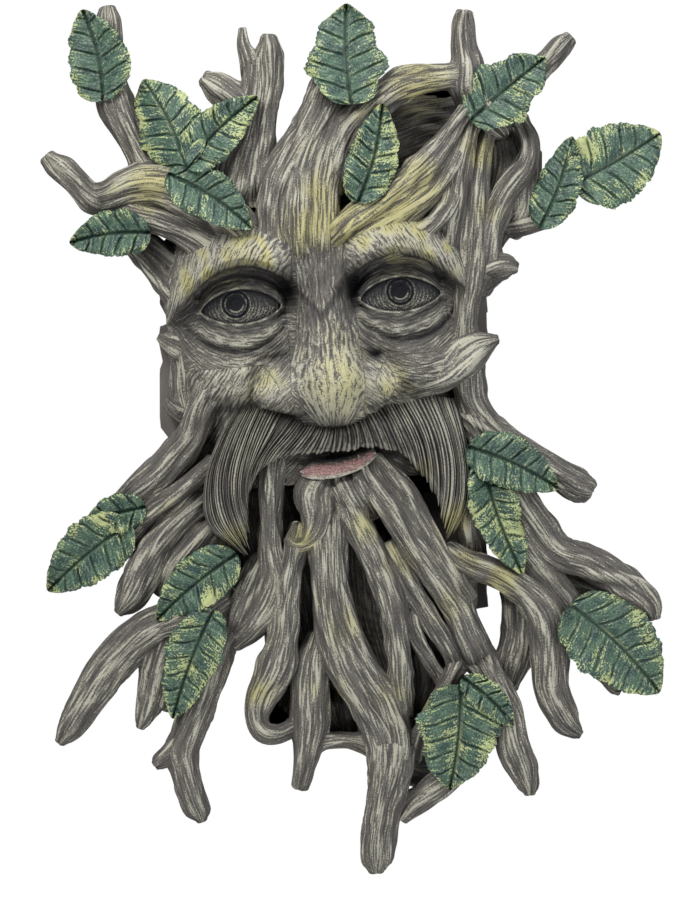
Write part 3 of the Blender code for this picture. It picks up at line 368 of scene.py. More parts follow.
# Brushed paint: u, v, reach and amount
YELLOW_SPOTS = (
    (300, 232, 36, 0.75), (318, 190, 28, 0.50), (346, 228, 38, 0.70), (388, 214, 38, 0.80),
    (428, 182, 32, 0.60), (300, 150, 22, 0.35), (420, 88, 32, 0.60), (372, 106, 26, 0.30),
    (482, 152, 18, 0.60), (487, 210, 16, 0.50), (230, 262, 42, 0.50), (402, 260, 44, 0.60),
    (330, 382, 38, 0.75), (330, 340, 22, 0.40), (272, 385, 20, 0.60), (395, 378, 20, 0.60),
    (150, 190, 28, 0.75), (112, 190, 18, 0.40), (236, 535, 20, 0.70), (454, 520, 20, 0.70),
    (426, 468, 20, 0.50), (300, 535, 16, 0.85), (326, 500, 16, 0.35), (345, 622, 26, 0.60),
    (372, 520, 22, 0.50), (402, 562, 26, 0.50), (334, 700, 26, 0.45), (440, 602, 26, 0.40),
    (270, 642, 20, 0.45), (256, 692, 18, 0.50), (470, 560, 18, 0.70), (502, 576, 22, 0.60),
    (430, 710, 14, 0.60), (160, 500, 22, 0.35), (392, 690, 20, 0.40), (320, 600, 18, 0.45),
)
PALE_SPOTS = (
    (228, 378, 34, 0.65), (242, 340, 26, 0.50), (442, 372, 30, 0.50), (218, 262, 30, 0.40),
    (300, 272, 20, 0.50), (330, 396, 34, 0.75), (250, 450, 22, 0.50), (330, 450, 40, 0.45),
    (150, 190, 36, 0.50), (400, 262, 34, 0.45), (468, 342, 20, 0.50), (370, 500, 18, 0.40),
    (300, 190, 40, 0.30), (400, 210, 44, 0.35), (275, 385, 22, 0.50), (394, 378, 22, 0.50),
)
LEAF_YELLOW = (
    (505, 522, 28, 0.70), (232, 122, 26, 0.50), (384, 152, 30, 0.55), (462, 738, 28, 0.45),
    (196, 668, 28, 0.45), (624, 648, 34, 0.30), (160, 120, 26, 0.35), (214, 592, 24, 0.40),
    (520, 90, 26, 0.35), (590, 150, 18, 0.65), (110, 525, 16, 0.45), (516, 482, 16, 0.30),
)

# Fineness of the carved surfaces, in sheet steps
RING_STEP = 2.8
FIBRE_STEP = 1.65
FLOOR_COARSER = 3.0
FEWEST_SIDES = 22
MOST_SIDES = 84
COARSE_GAP = 15.0
MIDDLE_GAP = 6.0
FINE_GAP = 3.7
FILLET = 9.0
TIP_BLUNT = 0.50
TIP_TURNS = np.radians([86.0, 78.0, 67.0, 55.0, 42.0, 28.0, 14.0])
TIP_JAG = 1.8
BACK_GAP = 0.0010
PLATE_DEEP = 0.0016
MAP_CELL = 3.0
MAP_WIDE = 700
MAP_TALL = 920
GRAIN_SCALE = 10.0

# Rows and columns of the carved grids, and which of a leaf's columns its back keeps
FACE_GRID = (262, 300)
HAIR_GRID = (520, 48)
LIP_GRID = (90, 26)
LEAF_GRID = (92, 61)
LEAF_BACK = slice(2, -2, 4)

# Thickness of the thin bodies, the least depth of the face, and reach of the two shadows
HAIR_THICK = 0.0042
LIP_THICK = 0.0030
LEAF_THICK = 0.0024
FACE_LEAST = 0.0030
NEAR_SHADOW = 0.0050
WIDE_SHADOW = 0.0130
WIDE_START = 0.001

# A panel behind the face closes the hollows in the solid's back, which reach its keyhole pocket
PANEL_LEFT = -0.051
PANEL_RIGHT = 0.043
PANEL_LOW = -0.014
PANEL_HIGH = 0.073
PANEL_SUNK = 0.0003

# The keyhole pocket in the back, as meant in the solid, where its lip is missing
KEYHOLE_HEAD = 0.0100
KEYHOLE_SLOT = 0.0056
KEYHOLE_TRAVEL = 0.0090
KEYHOLE_DEPTH = 0.0090
KEYHOLE_LIP = 0.0028
KEYHOLE_ABOVE = 0.0560
POCKET_WALL = 0.0030

# First seed of the leaves, and the steps of seed from limb to limb and leaf to leaf
LEAF_SEED = 500
LEAF_SEED_STEP = 11
LIMB_SEED_STEP = 7

# Regions of limbs that stand in the map of heights, and their pieces: region, first seed, darkness (dark wash
# and painted shade on the hollow floors)
REGIONS = (CROWN, ROOTS_RIGHT, ROOTS_LEFT, BEARD, BACKING)
WOOD_PIECES = {
    "crown_wood": (CROWN, 100, 0.0),
    "root_wood_right": (ROOTS_RIGHT, 1000, 0.0),
    "root_wood_left": (ROOTS_LEFT, 2000, 0.0),
    "beard_wood": (BEARD, 3000, 0.0),
    "hollow_floor": (BACKING, 4000, 0.35),
}
EYES = {"eye_left": -84.0, "eye_right": 81.0}

# Camera, floor and lights: place, size, power and colour
PICTURE_ROWS = 905
SENSOR = 36.0
FLOOR_HALF = 0.9
FLOOR_TOP = -0.42
FLOOR_FOOT = -0.43
LIGHTS = {
    "key_light": ((-0.45, -0.85, 0.75), 0.55, 13.0, (1.0, 0.985, 0.96)),
    "fill_light": ((0.75, -0.75, 0.15), 0.80, 4.5, (0.95, 0.97, 1.0)),
    "top_light": ((0.05, -0.10, 0.90), 0.45, 4.0, (1.0, 1.0, 1.0)),
}


def on_sheet(u, v, depth):
    """Turn a place on the sheet and its distance from the wall into x, y and z."""
    shrink = 1.0 - depth / EYE_DISTANCE
    x = (u - SHEET_U) * UNIT * shrink
    z = (SHEET_V - v) * UNIT * shrink
    return np.stack([x, -depth + 0.0 * x, z], axis=-1)


def from_middle(u, v):
    """How far out a place lies: 0 at the middle of the swell, about 1 near the rim."""
    return np.hypot((u - SWELL_U) / SWELL_WIDE, (v - SWELL_V) / SWELL_TALL)


def swell(u, v):
    """Share of the relief at which a limb's middle passes over a place."""
    return RIM_SHARE + SWELL_SHARE / (1.0 + from_middle(u, v) ** 3)


def ease(low, high, value):
    """Smooth step: 0 below low, 1 above high."""
    share = np.clip((value - low) / (high - low), 0.0, 1.0)
    return share * share * (3.0 - 2.0 * share)


def curve(p0, p1, p2, p3, t):
    """Catmull-Rom curve from p1 at t = 0 to p2 at t = 1."""
    return 0.5 * (2 * p1 + (p2 - p0) * t + (2 * p0 - 5 * p1 + 4 * p2 - p3) * t ** 2
                  + (3 * p1 - p0 - 3 * p2 + p3) * t ** 3)


def smooth_route(stations, step):
    """Read points along a Catmull-Rom curve through the stations, about a step apart."""
    points = np.array(stations, dtype=float)
    before = np.vstack([2 * points[0] - points[1], points, 2 * points[-1] - points[-2]])
    pieces = []
    for p0, p1, p2, p3 in zip(before, before[1:], before[2:], before[3:]):
        count = max(2, int(np.hypot(*(p2 - p1)[:2]) / step))
        t = np.linspace(0.0, 1.0, count, endpoint=False)[:, None]
        pieces.append(curve(p0, p1, p2, p3, t))
    return np.vstack(pieces + [points[-1:]])


def limb_middle(limb, route):
    """Distance from the wall of a limb's middle: its swell and lift, less its fall and burial."""
    steps = np.hypot(*np.diff(route[:, :2], axis=0).T)
    along = np.concatenate([[0.0], np.cumsum(steps)])
    drop = np.zeros(len(route))
    if limb.buried in ("start", "both"):
        drop = np.maximum(drop, 1.0 - ease(0.0, BURY_REACH, along))
    if limb.buried in ("end", "both"):
        drop = np.maximum(drop, 1.0 - ease(0.0, BURY_REACH, along[-1] - along))
    lift = limb.lift - limb.fall * (along / along[-1]) ** 2
    height = RELIEF * (swell(route[:, 0], route[:, 1]) + lift)
    return height - BURY_DEEP * drop * route[:, 2] * UNIT


def dome(x, y, middle_x, middle_y, wide, tall):
    """Round cap: 1 at its middle, 0 at its rim and beyond."""
    far = ((x - middle_x) / wide) ** 2 + ((y - middle_y) / tall) ** 2
    return np.sqrt(np.clip(1.0 - far, 0.0, None))


def hill(x, y, middle_x, middle_y, wide, tall):
    """Soft bell: 1 at its middle, fading out past its width and height."""
    return np.exp(-((x - middle_x) / wide) ** 2 - ((y - middle_y) / tall) ** 2)


def face_axes(u, v):
    """Places on the face's own leaning axes: x to its left-hand side, y down from its eyes."""
    x = (u - FACE_U) * math.cos(FACE_LEAN) + (v - FACE_V) * math.sin(FACE_LEAN)
    y = -(u - FACE_U) * math.sin(FACE_LEAN) + (v - FACE_V) * math.cos(FACE_LEAN)
    return x, y


def face_place(x, y):
    """Place on the sheet of a place on the face's own leaning axes."""
    u = FACE_U + x * math.cos(FACE_LEAN) - y * math.sin(FACE_LEAN)
    v = FACE_V + x * math.sin(FACE_LEAN) + y * math.cos(FACE_LEAN)
    return u, v


def fold(distance, width):
    """Soft ridge across a line: 1 on it, fading out past the width."""
    return np.exp(-(distance / width) ** 2)


def face_height(u, v):
    """Share of the relief at which the bare face stands over a place on the sheet."""
    return face_form(*face_axes(u, v))[0]


def ripple(a, b, size, seed, waves=7):
    """Smooth noise in -1..1: the mean of sines whose waves run every way, each about size long."""
    dice = np.random.default_rng(seed)
    total = np.zeros(np.broadcast(a, b).shape)
    for _ in range(waves):
        angle = dice.uniform(0, math.tau)
        phase = dice.uniform(0, math.tau)
        stretch = dice.uniform(0.7, 1.5)
        run = a * math.cos(angle) + b * math.sin(angle)
        total = total + np.sin(math.tau * run / size * stretch + phase)
    return total / math.sqrt(waves) * 0.8


def crest(phase, sharp=1.4):
    """Thin ridges between wide grooves: ((1 + cos phase) / 2) to the power sharp."""
    return (0.5 + 0.5 * np.cos(phase)) ** sharp


def push_back(points):
    """Keep the skins a gap in front of the wall, and clear of the keyhole pocket."""
    near = (np.abs(points[..., 0]) < KEYHOLE_HEAD) & (points[..., 2] > KEYHOLE_ABOVE - KEYHOLE_HEAD)
    near &= points[..., 2] < KEYHOLE_ABOVE + KEYHOLE_TRAVEL + KEYHOLE_HEAD
    limit = np.where(near, -KEYHOLE_DEPTH - POCKET_WALL, -BACK_GAP)
    points[..., 1] = np.minimum(points[..., 1], limit)
    return points


def measures(*values):
    """Stack four measures of a surface, arrays or numbers, into one colour attribute."""
    return np.stack(np.broadcast_arrays(*values), axis=-1)


def grain_uv(across, along):
    """Places of a grid on the grain, from its two measures in sheet steps."""
    return np.stack(np.broadcast_arrays(across, along), axis=-1) * UNIT * GRAIN_SCALE


def rim_of(grid):
    """The entries of a grid along its rim, once round."""
    return np.concatenate([grid[0, :], grid[1:, -1], grid[-1, -2::-1], grid[-2:0:-1, 0]])


def linked(name, data):
    """A new object in the scene."""
    made = bpy.data.objects.new(name, data)
    bpy.context.scene.collection.objects.link(made)
    return made


def new_piece(name, mesh, material):
    """Link a mesh, give it its material, and let it ride on the casting's body."""
    piece = linked(name, mesh)
    mesh.materials.append(material)
    mesh.shade_smooth()
    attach(piece, "root")
    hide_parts(NODE)
    return piece


class Skin:
    """Grids of points, one after another, that become one mesh with its UV map and paint."""

    def __init__(self):
        self.points, self.quads, self.triangles = [], [], []
        self.quad_uv, self.triangle_uv = [], []
        self.relief, self.paint = [], []
        self.count = 0

    def add(self, points, uv, relief, paint, closed=False, caps=False):
        """Add a rows x columns grid; closed joins its columns round, caps close both ends.

        uv has one column more than the points when closed, so the seam keeps its own values.
        """
        rows, columns = points.shape[:2]
        index = np.arange(rows * columns).reshape(rows, columns) + self.count
        here = index if closed else index[:, :-1]
        there = np.roll(index, -1, axis=1) if closed else index[:, 1:]
        self.quads.append(np.stack([here[:-1], there[:-1], there[1:], here[1:]], axis=-1).reshape(-1, 4))
        corner = np.stack([uv[:-1, :-1], uv[:-1, 1:], uv[1:, 1:], uv[1:, :-1]], axis=2)
        self.quad_uv.append(corner.reshape(-1, 4, 2))
        self.points.append(points.reshape(-1, 3))
        relief = np.broadcast_to(relief, (rows, columns, 4))
        paint = np.broadcast_to(paint, (rows, columns, 4))
        self.relief.append(relief.reshape(-1, 4).copy())
        self.paint.append(paint.reshape(-1, 4).copy())
        self.count += rows * columns
        if caps:
            for row, turned in ((0, True), (-1, False)):
                self.cap(index[row], points[row], uv[row], relief[row], paint[row], turned)

    def cap(self, ring, points, uv, relief, paint, turned):
        """Close a ring with a fan round the mean of its points."""
        self.points.append(points.mean(axis=0)[None])
        self.relief.append(relief.mean(axis=0)[None])
        self.paint.append(paint.mean(axis=0)[None])
        pole = np.full(len(ring), self.count)
        self.count += 1
        after = np.roll(ring, -1)
        middle = np.repeat(uv.mean(axis=0)[None], len(ring), axis=0)
        order = (pole, after, ring) if turned else (pole, ring, after)
        corners = (middle, uv[1:], uv[:-1]) if turned else (middle, uv[:-1], uv[1:])
        self.triangles.append(np.stack(order, axis=-1))
        self.triangle_uv.append(np.stack(corners, axis=1))

    def mesh(self, name):
        """Put the arrays into a mesh."""
        points = np.concatenate(self.points)
        quads = np.concatenate(self.quads)
        triangles = np.concatenate(self.triangles) if self.triangles else np.zeros((0, 3), int)
        loops = np.concatenate([quads.ravel(), triangles.ravel()])
        starts = np.concatenate([4 * np.arange(len(quads)),
                                 4 * len(quads) + 3 * np.arange(len(triangles))])
        mesh = bpy.data.meshes.new(name)
        mesh.vertices.add(len(points))
        mesh.vertices.foreach_set("co", points.astype(np.float32).ravel())
        mesh.loops.add(len(loops))
        mesh.loops.foreach_set("vertex_index", loops.astype(np.int32))
        mesh.polygons.add(len(starts))
        mesh.polygons.foreach_set("loop_start", starts.astype(np.int32))
        uv = np.concatenate([np.concatenate(self.quad_uv).reshape(-1, 2)]
                            + [part.reshape(-1, 2) for part in self.triangle_uv])
        layer = mesh.uv_layers.new(name="grain")
        layer.uv.foreach_set("vector", uv.astype(np.float32).ravel())
        for label, values in (("relief", self.relief), ("paint", self.paint)):
            attribute = mesh.color_attributes.new(name=label, type="FLOAT_COLOR", domain="POINT")
            attribute.data.foreach_set("color", np.concatenate(values).astype(np.float32).ravel())
        mesh.update(calc_edges=True)
        mesh.validate()
        return mesh


def capped_route(stations):
    """A route with rings drawn in at both ends: out by r sin, and in to r cos, of each turn."""
    route = smooth_route(stations, RING_STEP)
    ends = []
    for first, second in ((route[0], route[1]), (route[-1], route[-2])):
        out = (first - second)[:2]
        out = out / np.linalg.norm(out)
        half = first[2]
        places = first[None, :2] + out[None] * (TIP_BLUNT * half * np.sin(TIP_TURNS))[:, None]
        ends.append(np.column_stack([places, half * np.cos(TIP_TURNS) ** 0.7]))
    return np.vstack([ends[0], route, ends[1][::-1]])


def relief_map():
    """Highest front over each cell of the sheet, from the face and from every limb's route and width."""
    columns, rows = int(MAP_WIDE / MAP_CELL), int(MAP_TALL / MAP_CELL)
    u, v = np.meshgrid((np.arange(columns) + 0.5) * MAP_CELL, (np.arange(rows) + 0.5) * MAP_CELL)
    top = np.maximum(RELIEF * face_height(u, v), 0.0)
    for region in REGIONS:
        for limb in region.values():
            route = smooth_route(limb.stations, MAP_CELL)
            height = limb_middle(limb, route)
            for place, middle in zip(route, height):
                left, right = np.searchsorted(u[0], [place[0] - place[2], place[0] + place[2]])
                above, below = np.searchsorted(v[:, 0], [place[1] - place[2], place[1] + place[2]])
                patch = (slice(above, below), slice(left, right))
                out = ((u[patch] - place[0]) ** 2 + (v[patch] - place[1]) ** 2) / place[2] ** 2
                rise = middle + place[2] * UNIT * limb.flat * np.sqrt(np.clip(1.0 - out, 0.0, None))
                top[patch] = np.where(out < 1.0, np.maximum(top[patch], rise), top[patch])
    return top


def blurred(field, reach):
    """Mean over a square of cells each way, by running sums along both axes."""
    for axis in (0, 1):
        size = field.shape[axis]
        total = np.cumsum(field, axis=axis)
        total = np.concatenate([np.zeros_like(np.take(total, [0], axis)), total], axis=axis)
        low = np.clip(np.arange(size) - reach, 0, size)
        high = np.clip(np.arange(size) + reach + 1, 0, size)
        shape = (-1, 1) if axis == 0 else (1, -1)
        field = (np.take(total, high, axis) - np.take(total, low, axis)) / (high - low).reshape(shape)
    return field


def limb_stations():
    """Every limb's stations: u, v, half width, depth of its middle and flatness."""
    table = {}
    for region in REGIONS:
        for name, limb in region.items():
            route = smooth_route(limb.stations, 2 * MAP_CELL)
            height = limb_middle(limb, route)
            table[name] = np.column_stack([route, height, np.full(len(route), limb.flat)])
    return table


def fillet(u, v, depth, own, face=True):
    """Extra lift that melts a surface into its neighbours: k / 4 (1 - gap / k) squared.

    The gap is the least distance to the round sides of the other limbs, in sheet steps.
    """
    gap = np.full(u.shape, FILLET)
    for name, other in SHARED["stations"].items():
        low = other[:, :2].min(axis=0) - other[:, 2].max() - FILLET
        high = other[:, :2].max(axis=0) + other[:, 2].max() + FILLET
        inside = (u > low[0]) & (u < high[0]) & (v > low[1]) & (v < high[1])
        if name == own or not inside.any():
            continue
        flat = np.hypot(u[inside][:, None] - other[:, 0], v[inside][:, None] - other[:, 1])
        rise = np.maximum(depth[inside][:, None] - other[:, 3], 0.0) / UNIT / other[:, 4]
        gap[inside] = np.minimum(gap[inside], (np.hypot(flat, rise) - other[:, 2]).min(axis=1))
    if face:
        above = (depth - RELIEF * face_height(u, v)) / UNIT * 0.8
        gap = np.minimum(gap, np.where(face_height(u, v) > 0.05, above, FILLET))
    return 0.25 * FILLET * (1.0 - np.clip(gap / FILLET, 0.0, 1.0)) ** 2


def hollow_at(u, v, depth):
    """How far a place lies below what stands round it: 0 in the open, 1 in a deep hollow; the materials paint
    shade and dark wash by it.

    Known fault: this gives no number (NaN) at any place, so the hollows get no painted shade and no wash of
    their own.
    Far from the face, face_form takes the root of a negative number, and the map holds it.
    """
    top = SHARED["top"]
    column = np.clip((u / MAP_CELL).astype(int), 0, top[0].shape[1] - 1)
    row = np.clip((v / MAP_CELL).astype(int), 0, top[0].shape[0] - 1)
    near = np.clip((top[0][row, column] - depth) / NEAR_SHADOW, 0.0, 1.0)
    wide = np.clip((top[1][row, column] - depth - WIDE_START) / WIDE_SHADOW, 0.0, 1.0)
    return np.maximum(0.75 * near, wide)


def brush_of(u, v, spots):
    """Strength of hand-brushed paint: the strongest of soft round spots (u, v, reach, amount)."""
    total = np.zeros(np.shape(u))
    for spot_u, spot_v, reach, amount in spots:
        total = np.maximum(total, amount * np.exp(-((u - spot_u) ** 2 + (v - spot_v) ** 2) / reach ** 2))
    return total


def limb_skin(skin, name, limb, seed, carve, dark=0.0):
    """Carry a fluted profile along a limb.

    Ring point = middle + across * (half + carve) * cos, raised by (half + carve) * flat * sin,
    where carve is the height of the fibres; the back is drawn to the wall near the middle.
    """
    dice = np.random.default_rng(seed)
    route = capped_route(limb.stations)
    u, v, half = route.T
    run = np.gradient(route[:, :2], axis=0)
    run = run / np.maximum(np.linalg.norm(run, axis=1, keepdims=True), 1e-9)
    across = np.stack([-run[:, 1], run[:, 0]], axis=1)
    along = np.concatenate([[0.0], np.cumsum(np.hypot(*np.diff(route[:, :2], axis=0).T))])
    typical = float(np.mean(half))
    girth = math.tau * typical
    sides = int(np.clip(girth / (FIBRE_STEP + FLOOR_COARSER * (dark > 0.0)), FEWEST_SIDES, MOST_SIDES))
    share = np.linspace(0.0, 1.0, sides + 1)
    turn = math.tau * (share + 0.42 * np.sin(math.tau * share) / math.tau) - math.pi / 2
    angle, s = turn[None, :-1], along[:, None]
    cosine, sine = np.cos(angle), np.sin(angle)
    lean = dice.uniform(-0.010, 0.010)
    wander = 0.9 * ripple(s, 30 * angle, 190.0, seed + 1) + 0.45 * ripple(s, 14 * angle, 60.0, seed + 2)
    around = angle + lean * s + 0.16 * wander
    coarse = max(3, round(girth / COARSE_GAP))
    middle = max(6, round(girth / MIDDLE_GAP))
    fine = max(9, round(girth / FINE_GAP))
    strength = 0.62 + 0.38 * ripple(s, 40 * angle, 70.0, seed + 3)
    fibre = 0.60 * crest(middle * around + 1.3 * wander + dice.uniform(0, 6), 1.2) * strength
    fibre = fibre + 0.40 * crest(fine * around + 0.8 * wander + dice.uniform(0, 6), 1.5) * (1.3 - strength)
    ridge_line = 0.5 * math.pi + 0.55 * ripple(s, 0 * s, 150.0, seed + 6)
    broad = crest(coarse * (around - ridge_line) + 0.5 * wander, 0.9)
    main = np.exp(-((angle - ridge_line) / 0.30) ** 2)
    front = ease(-0.45, 0.05, sine)
    lump = 1.10 * ripple(s, 25 * angle, 80.0, seed + 4) + 0.70 * ripple(s, 20 * angle, 34.0, seed + 5)
    lift = carve * (1.75 * (fibre - 0.45) + 2.1 * (broad - 0.55) + 2.4 * main + lump) * front
    lift = lift * np.minimum(1.0, half[:, None] / 9.0)
    height = limb_middle(limb, route)
    rooted = 1.0 - ease(ROOTED_WITHIN, FREE_BEYOND, from_middle(u, v))
    deep = half * UNIT * limb.flat
    back = deep + rooted * np.maximum(height + BEHIND_WALL - deep, 0.0) * np.minimum(1.0, half / typical)
    square = 1.0 - 0.45 * rooted[:, None] * (sine < 0)
    out = np.sign(cosine) * np.abs(cosine) ** square
    plain_u = u[:, None] + across[:, :1] * half[:, None] * out
    plain_v = v[:, None] + across[:, 1:] * half[:, None] * out
    plain = height[:, None] + np.where(sine > 0, deep[:, None], back[:, None]) * sine
    melt = fillet(plain_u, plain_v, plain, name) * ease(-0.6, -0.1, sine)
    lift = lift * (1.0 - 0.25 * melt) + melt
    ring_u = u[:, None] + across[:, :1] * (half[:, None] + lift) * out
    ring_v = v[:, None] + across[:, 1:] * (half[:, None] + lift) * out
    close = 1.0 - ease(0.0, 9.0, np.minimum(s, along[-1] - s))
    jag = TIP_JAG * close * ripple(3.0 * cosine, 3.0 * sine, 2.2, seed + 8)
    jag = jag * np.minimum(1.0, half[:, None] / 8.0)
    ring_u = ring_u + run[:, :1] * jag
    ring_v = ring_v + run[:, 1:] * jag
    rise = np.where(sine > 0, (deep[:, None] + lift * UNIT) * sine, back[:, None] * sine)
    depth = height[:, None] + rise
    points = push_back(on_sheet(ring_u, ring_v, depth))
    # Painted shade and dark wash in the hollows among the limbs, and painted shade on each limb's sides and
    # back, more the further they turn from the front
    hollow = hollow_at(ring_u, ring_v, depth)
    hollow = np.maximum(hollow, 0.55 * ease(0.72, 0.0, sine) + 0.30 * ease(-0.1, -0.9, sine))
    top = np.clip(0.55 * main + 0.38 * broad + 0.28 * ease(0.1, 0.95, sine), 0, 1)
    relief = measures(np.clip(0.88 * fibre + 0.22 * broad, 0, 1), hollow, top, 0 * hollow)
    yellow = brush_of(ring_u, ring_v, YELLOW_SPOTS)
    pale = brush_of(ring_u, ring_v, PALE_SPOTS)
    # Floors take their darkness on their front: dark wash and painted shade of the hollows they close
    paint = measures(yellow, 0.0, dark * ease(-0.15, 0.35, sine), pale)
    uv = grain_uv(turn[None, :] * typical + 37.0 * seed, s + 91.0 * seed)
    skin.add(points, uv, relief, paint, closed=True, caps=True)


def smooth_max(first, second, soft):
    """Greater of two heights with its crease rounded: (a + b + sqrt((a - b) ** 2 + soft ** 2)) / 2."""
    return 0.5 * (first + second + np.sqrt((first - second) ** 2 + soft ** 2))


def nose_form(x, y, side):
    """Bridge that widens down to the bulb, and two wings that flare and lift at their tips.

    A wing lies between an upper and a lower row; it swells slowly from the upper one and rolls in
    fast at the lower one.
    """
    rows = [-70, -40, -10, 20, 50, 75, 100, 118, 130]
    bridge = np.interp(y, rows, [0.0, 0.06, 0.125, 0.185, 0.250, 0.32, 0.31, 0.24, 0.0])
    width = np.interp(y, rows, [19.0, 18.0, 18.5, 21.5, 26.0, 30.0, 33.0, 31.0, 22.0])
    bridge = bridge * np.exp(-np.abs((x - 4.0 - 0.02 * y) / width) ** 3.0)
    bulb = 0.45 * dome(x, y, 7.0, 87.0, 38.5, 40.5) ** 0.9
    high = 46.0 + 0.66 * (side - 28.0)
    low = 94.0 + 21.0 * np.sqrt(np.clip((78.0 - side) / 46.0, 0.0, 1.0))
    t = (y - high) / np.maximum(low - high, 4.0)
    roll_in = np.clip(t - 0.70, 0.0, None) / 0.30
    wing = ease(-0.10, 0.62, t) * np.sqrt(np.clip(1.0 - roll_in ** 2, 0.0, 1.0))
    wing = 0.30 * wing * (1.0 - 0.40 * ease(30.0, 78.0, side)) * (1.0 - ease(70.0, 79.0, side))
    both = smooth_max(bulb, wing, 0.02)
    return np.maximum(bridge, both - 0.01)


def lid_rows(side):
    """Rows of the upper and lower lid edge at a distance out from the face's middle."""
    across = (side - EYE_OUT) / EYE_HALF
    arch = np.clip(1.0 - across ** 2, 0.0, 1.0)
    return EYE_CORNER - EYE_RISE * arch ** 0.75, EYE_CORNER + EYE_DROP * arch ** 0.80, across


def head_half(y):
    """Half width of the head, cheek to cheek, at a row."""
    return np.interp(y, [-80, -55, -32, 11, 36, 92, 130, 184], [128, 148, 159, 154, 147, 135, 127, 104])


def brow_edge(side):
    """Row of the lower edge of the brow: a low arch that drops faster on its outer side."""
    out = side - 78.0
    return BROW_ROW + np.where(out < 0.0, 0.0088, 0.0100) * out ** 2


def eyeball(side, y):
    """Share of the relief of the round eyeball under the lids."""
    out = ((side - EYE_OUT) / 47.0) ** 2 + ((y - 2.0) / 32.0) ** 2
    return 0.350 - 0.0011 * (side - EYE_OUT) + 0.110 * np.sqrt(np.clip(1.0 - out, 0.0, None))


def face_form(x, y):
    """Share of the relief of the bare face, and its measures that the paint needs too."""
    side = np.abs(x - 1.0)
    upper, lower, across = lid_rows(side)
    near = 1.0 - ease(1.00, 1.40, np.abs(across))
    core = 0.56 * np.sqrt(np.clip(1.0 - (np.abs(x) / (1.02 * head_half(y))) ** 4, 0.0, 1.0))
    core = core * np.sqrt(1.0 - ((y - 70.0) / 232.0) ** 2)
    core = core * (1.0 - 0.25 * ease(-70.0, -120.0, y))
    above = brow_edge(side) - y
    brow = ease(-4.0, 9.0, above) * (1.0 - 0.8 * ease(14.0, 50.0, above))
    brow = 0.185 * brow * ease(8.0, 36.0, side) * (1.0 - ease(140.0, 164.0, side))
    sockets = 0.145 * hill(side, y, 82.0, -3.0, 50.0, 27.0) + 0.115 * hill(side, y, 33.0, -8.0, 12.0, 28.0)
    base = core + brow - sockets
    over, under = upper - y, y - lower
    lids = eyeball(side, y) + 0.024 - 0.12 * ease(8.0, 15.0, over) - 0.12 * ease(4.0, 10.0, under)
    lids = lids - 0.16 * ease(1.0, 1.28, np.abs(across))
    height = smooth_max(base, lids, 0.010)
    rims = 0.008 * fold(over - 1.8, 1.6) + 0.008 * fold(under - 1.6, 1.5)
    creases = 0.022 * fold(over - 15.0, 3.0) + 0.008 * fold(over - 8.5, 1.3) + 0.012 * fold(over - 21.0, 2.0)
    creases = creases + 0.012 * fold(under - 7.0, 1.8) + 0.012 * fold(under - 11.5, 1.5)
    bag_row = 47.0 - 0.0105 * (side - 84.0) ** 2
    bag = 0.034 * fold(under - 19.0, 8.5)
    bag_edge = 0.034 * fold(y - bag_row, 3.4) * (1.0 - ease(46.0, 58.0, np.abs(side - 86.0)))
    height = height + (rims - creases + bag) * near - bag_edge
    cheek_row = 101.0 - 0.0085 * (side - 100.0) ** 2
    rise = cheek_row - y
    cheeks = 0.165 * ease(-3.0, 13.0, rise) * (1.0 - ease(26.0, 60.0, rise))
    cheeks = cheeks * ease(64.0, 86.0, side) * (1.0 - 0.7 * ease(120.0, 150.0, side))
    lip = 0.12 * hill(x, y, 6.0, 134.0, 80.0, 20.0)
    mouth = 0.24 * hill(x, y, 8.0, 156.0, 44.0, 6.0)
    pit = 0.07 * hill(x, y, 51.0, 60.0, 9.0, 4.5) + 0.03 * hill(x, y, -50.0, 56.0, 16.0, 4.0)
    forms = np.maximum(cheeks, nose_form(x, y, side))
    opening = 1.0 / (1.0 + np.exp(-(y - upper) / 0.6)) / (1.0 + np.exp(-(lower - y) / 0.6))
    opening = opening * (1.0 - ease(0.97, 1.02, np.abs(across)))
    height = height + forms + lip - mouth - pit - 0.075 * opening
    return height, side, upper, lower, near, opening, bag_row


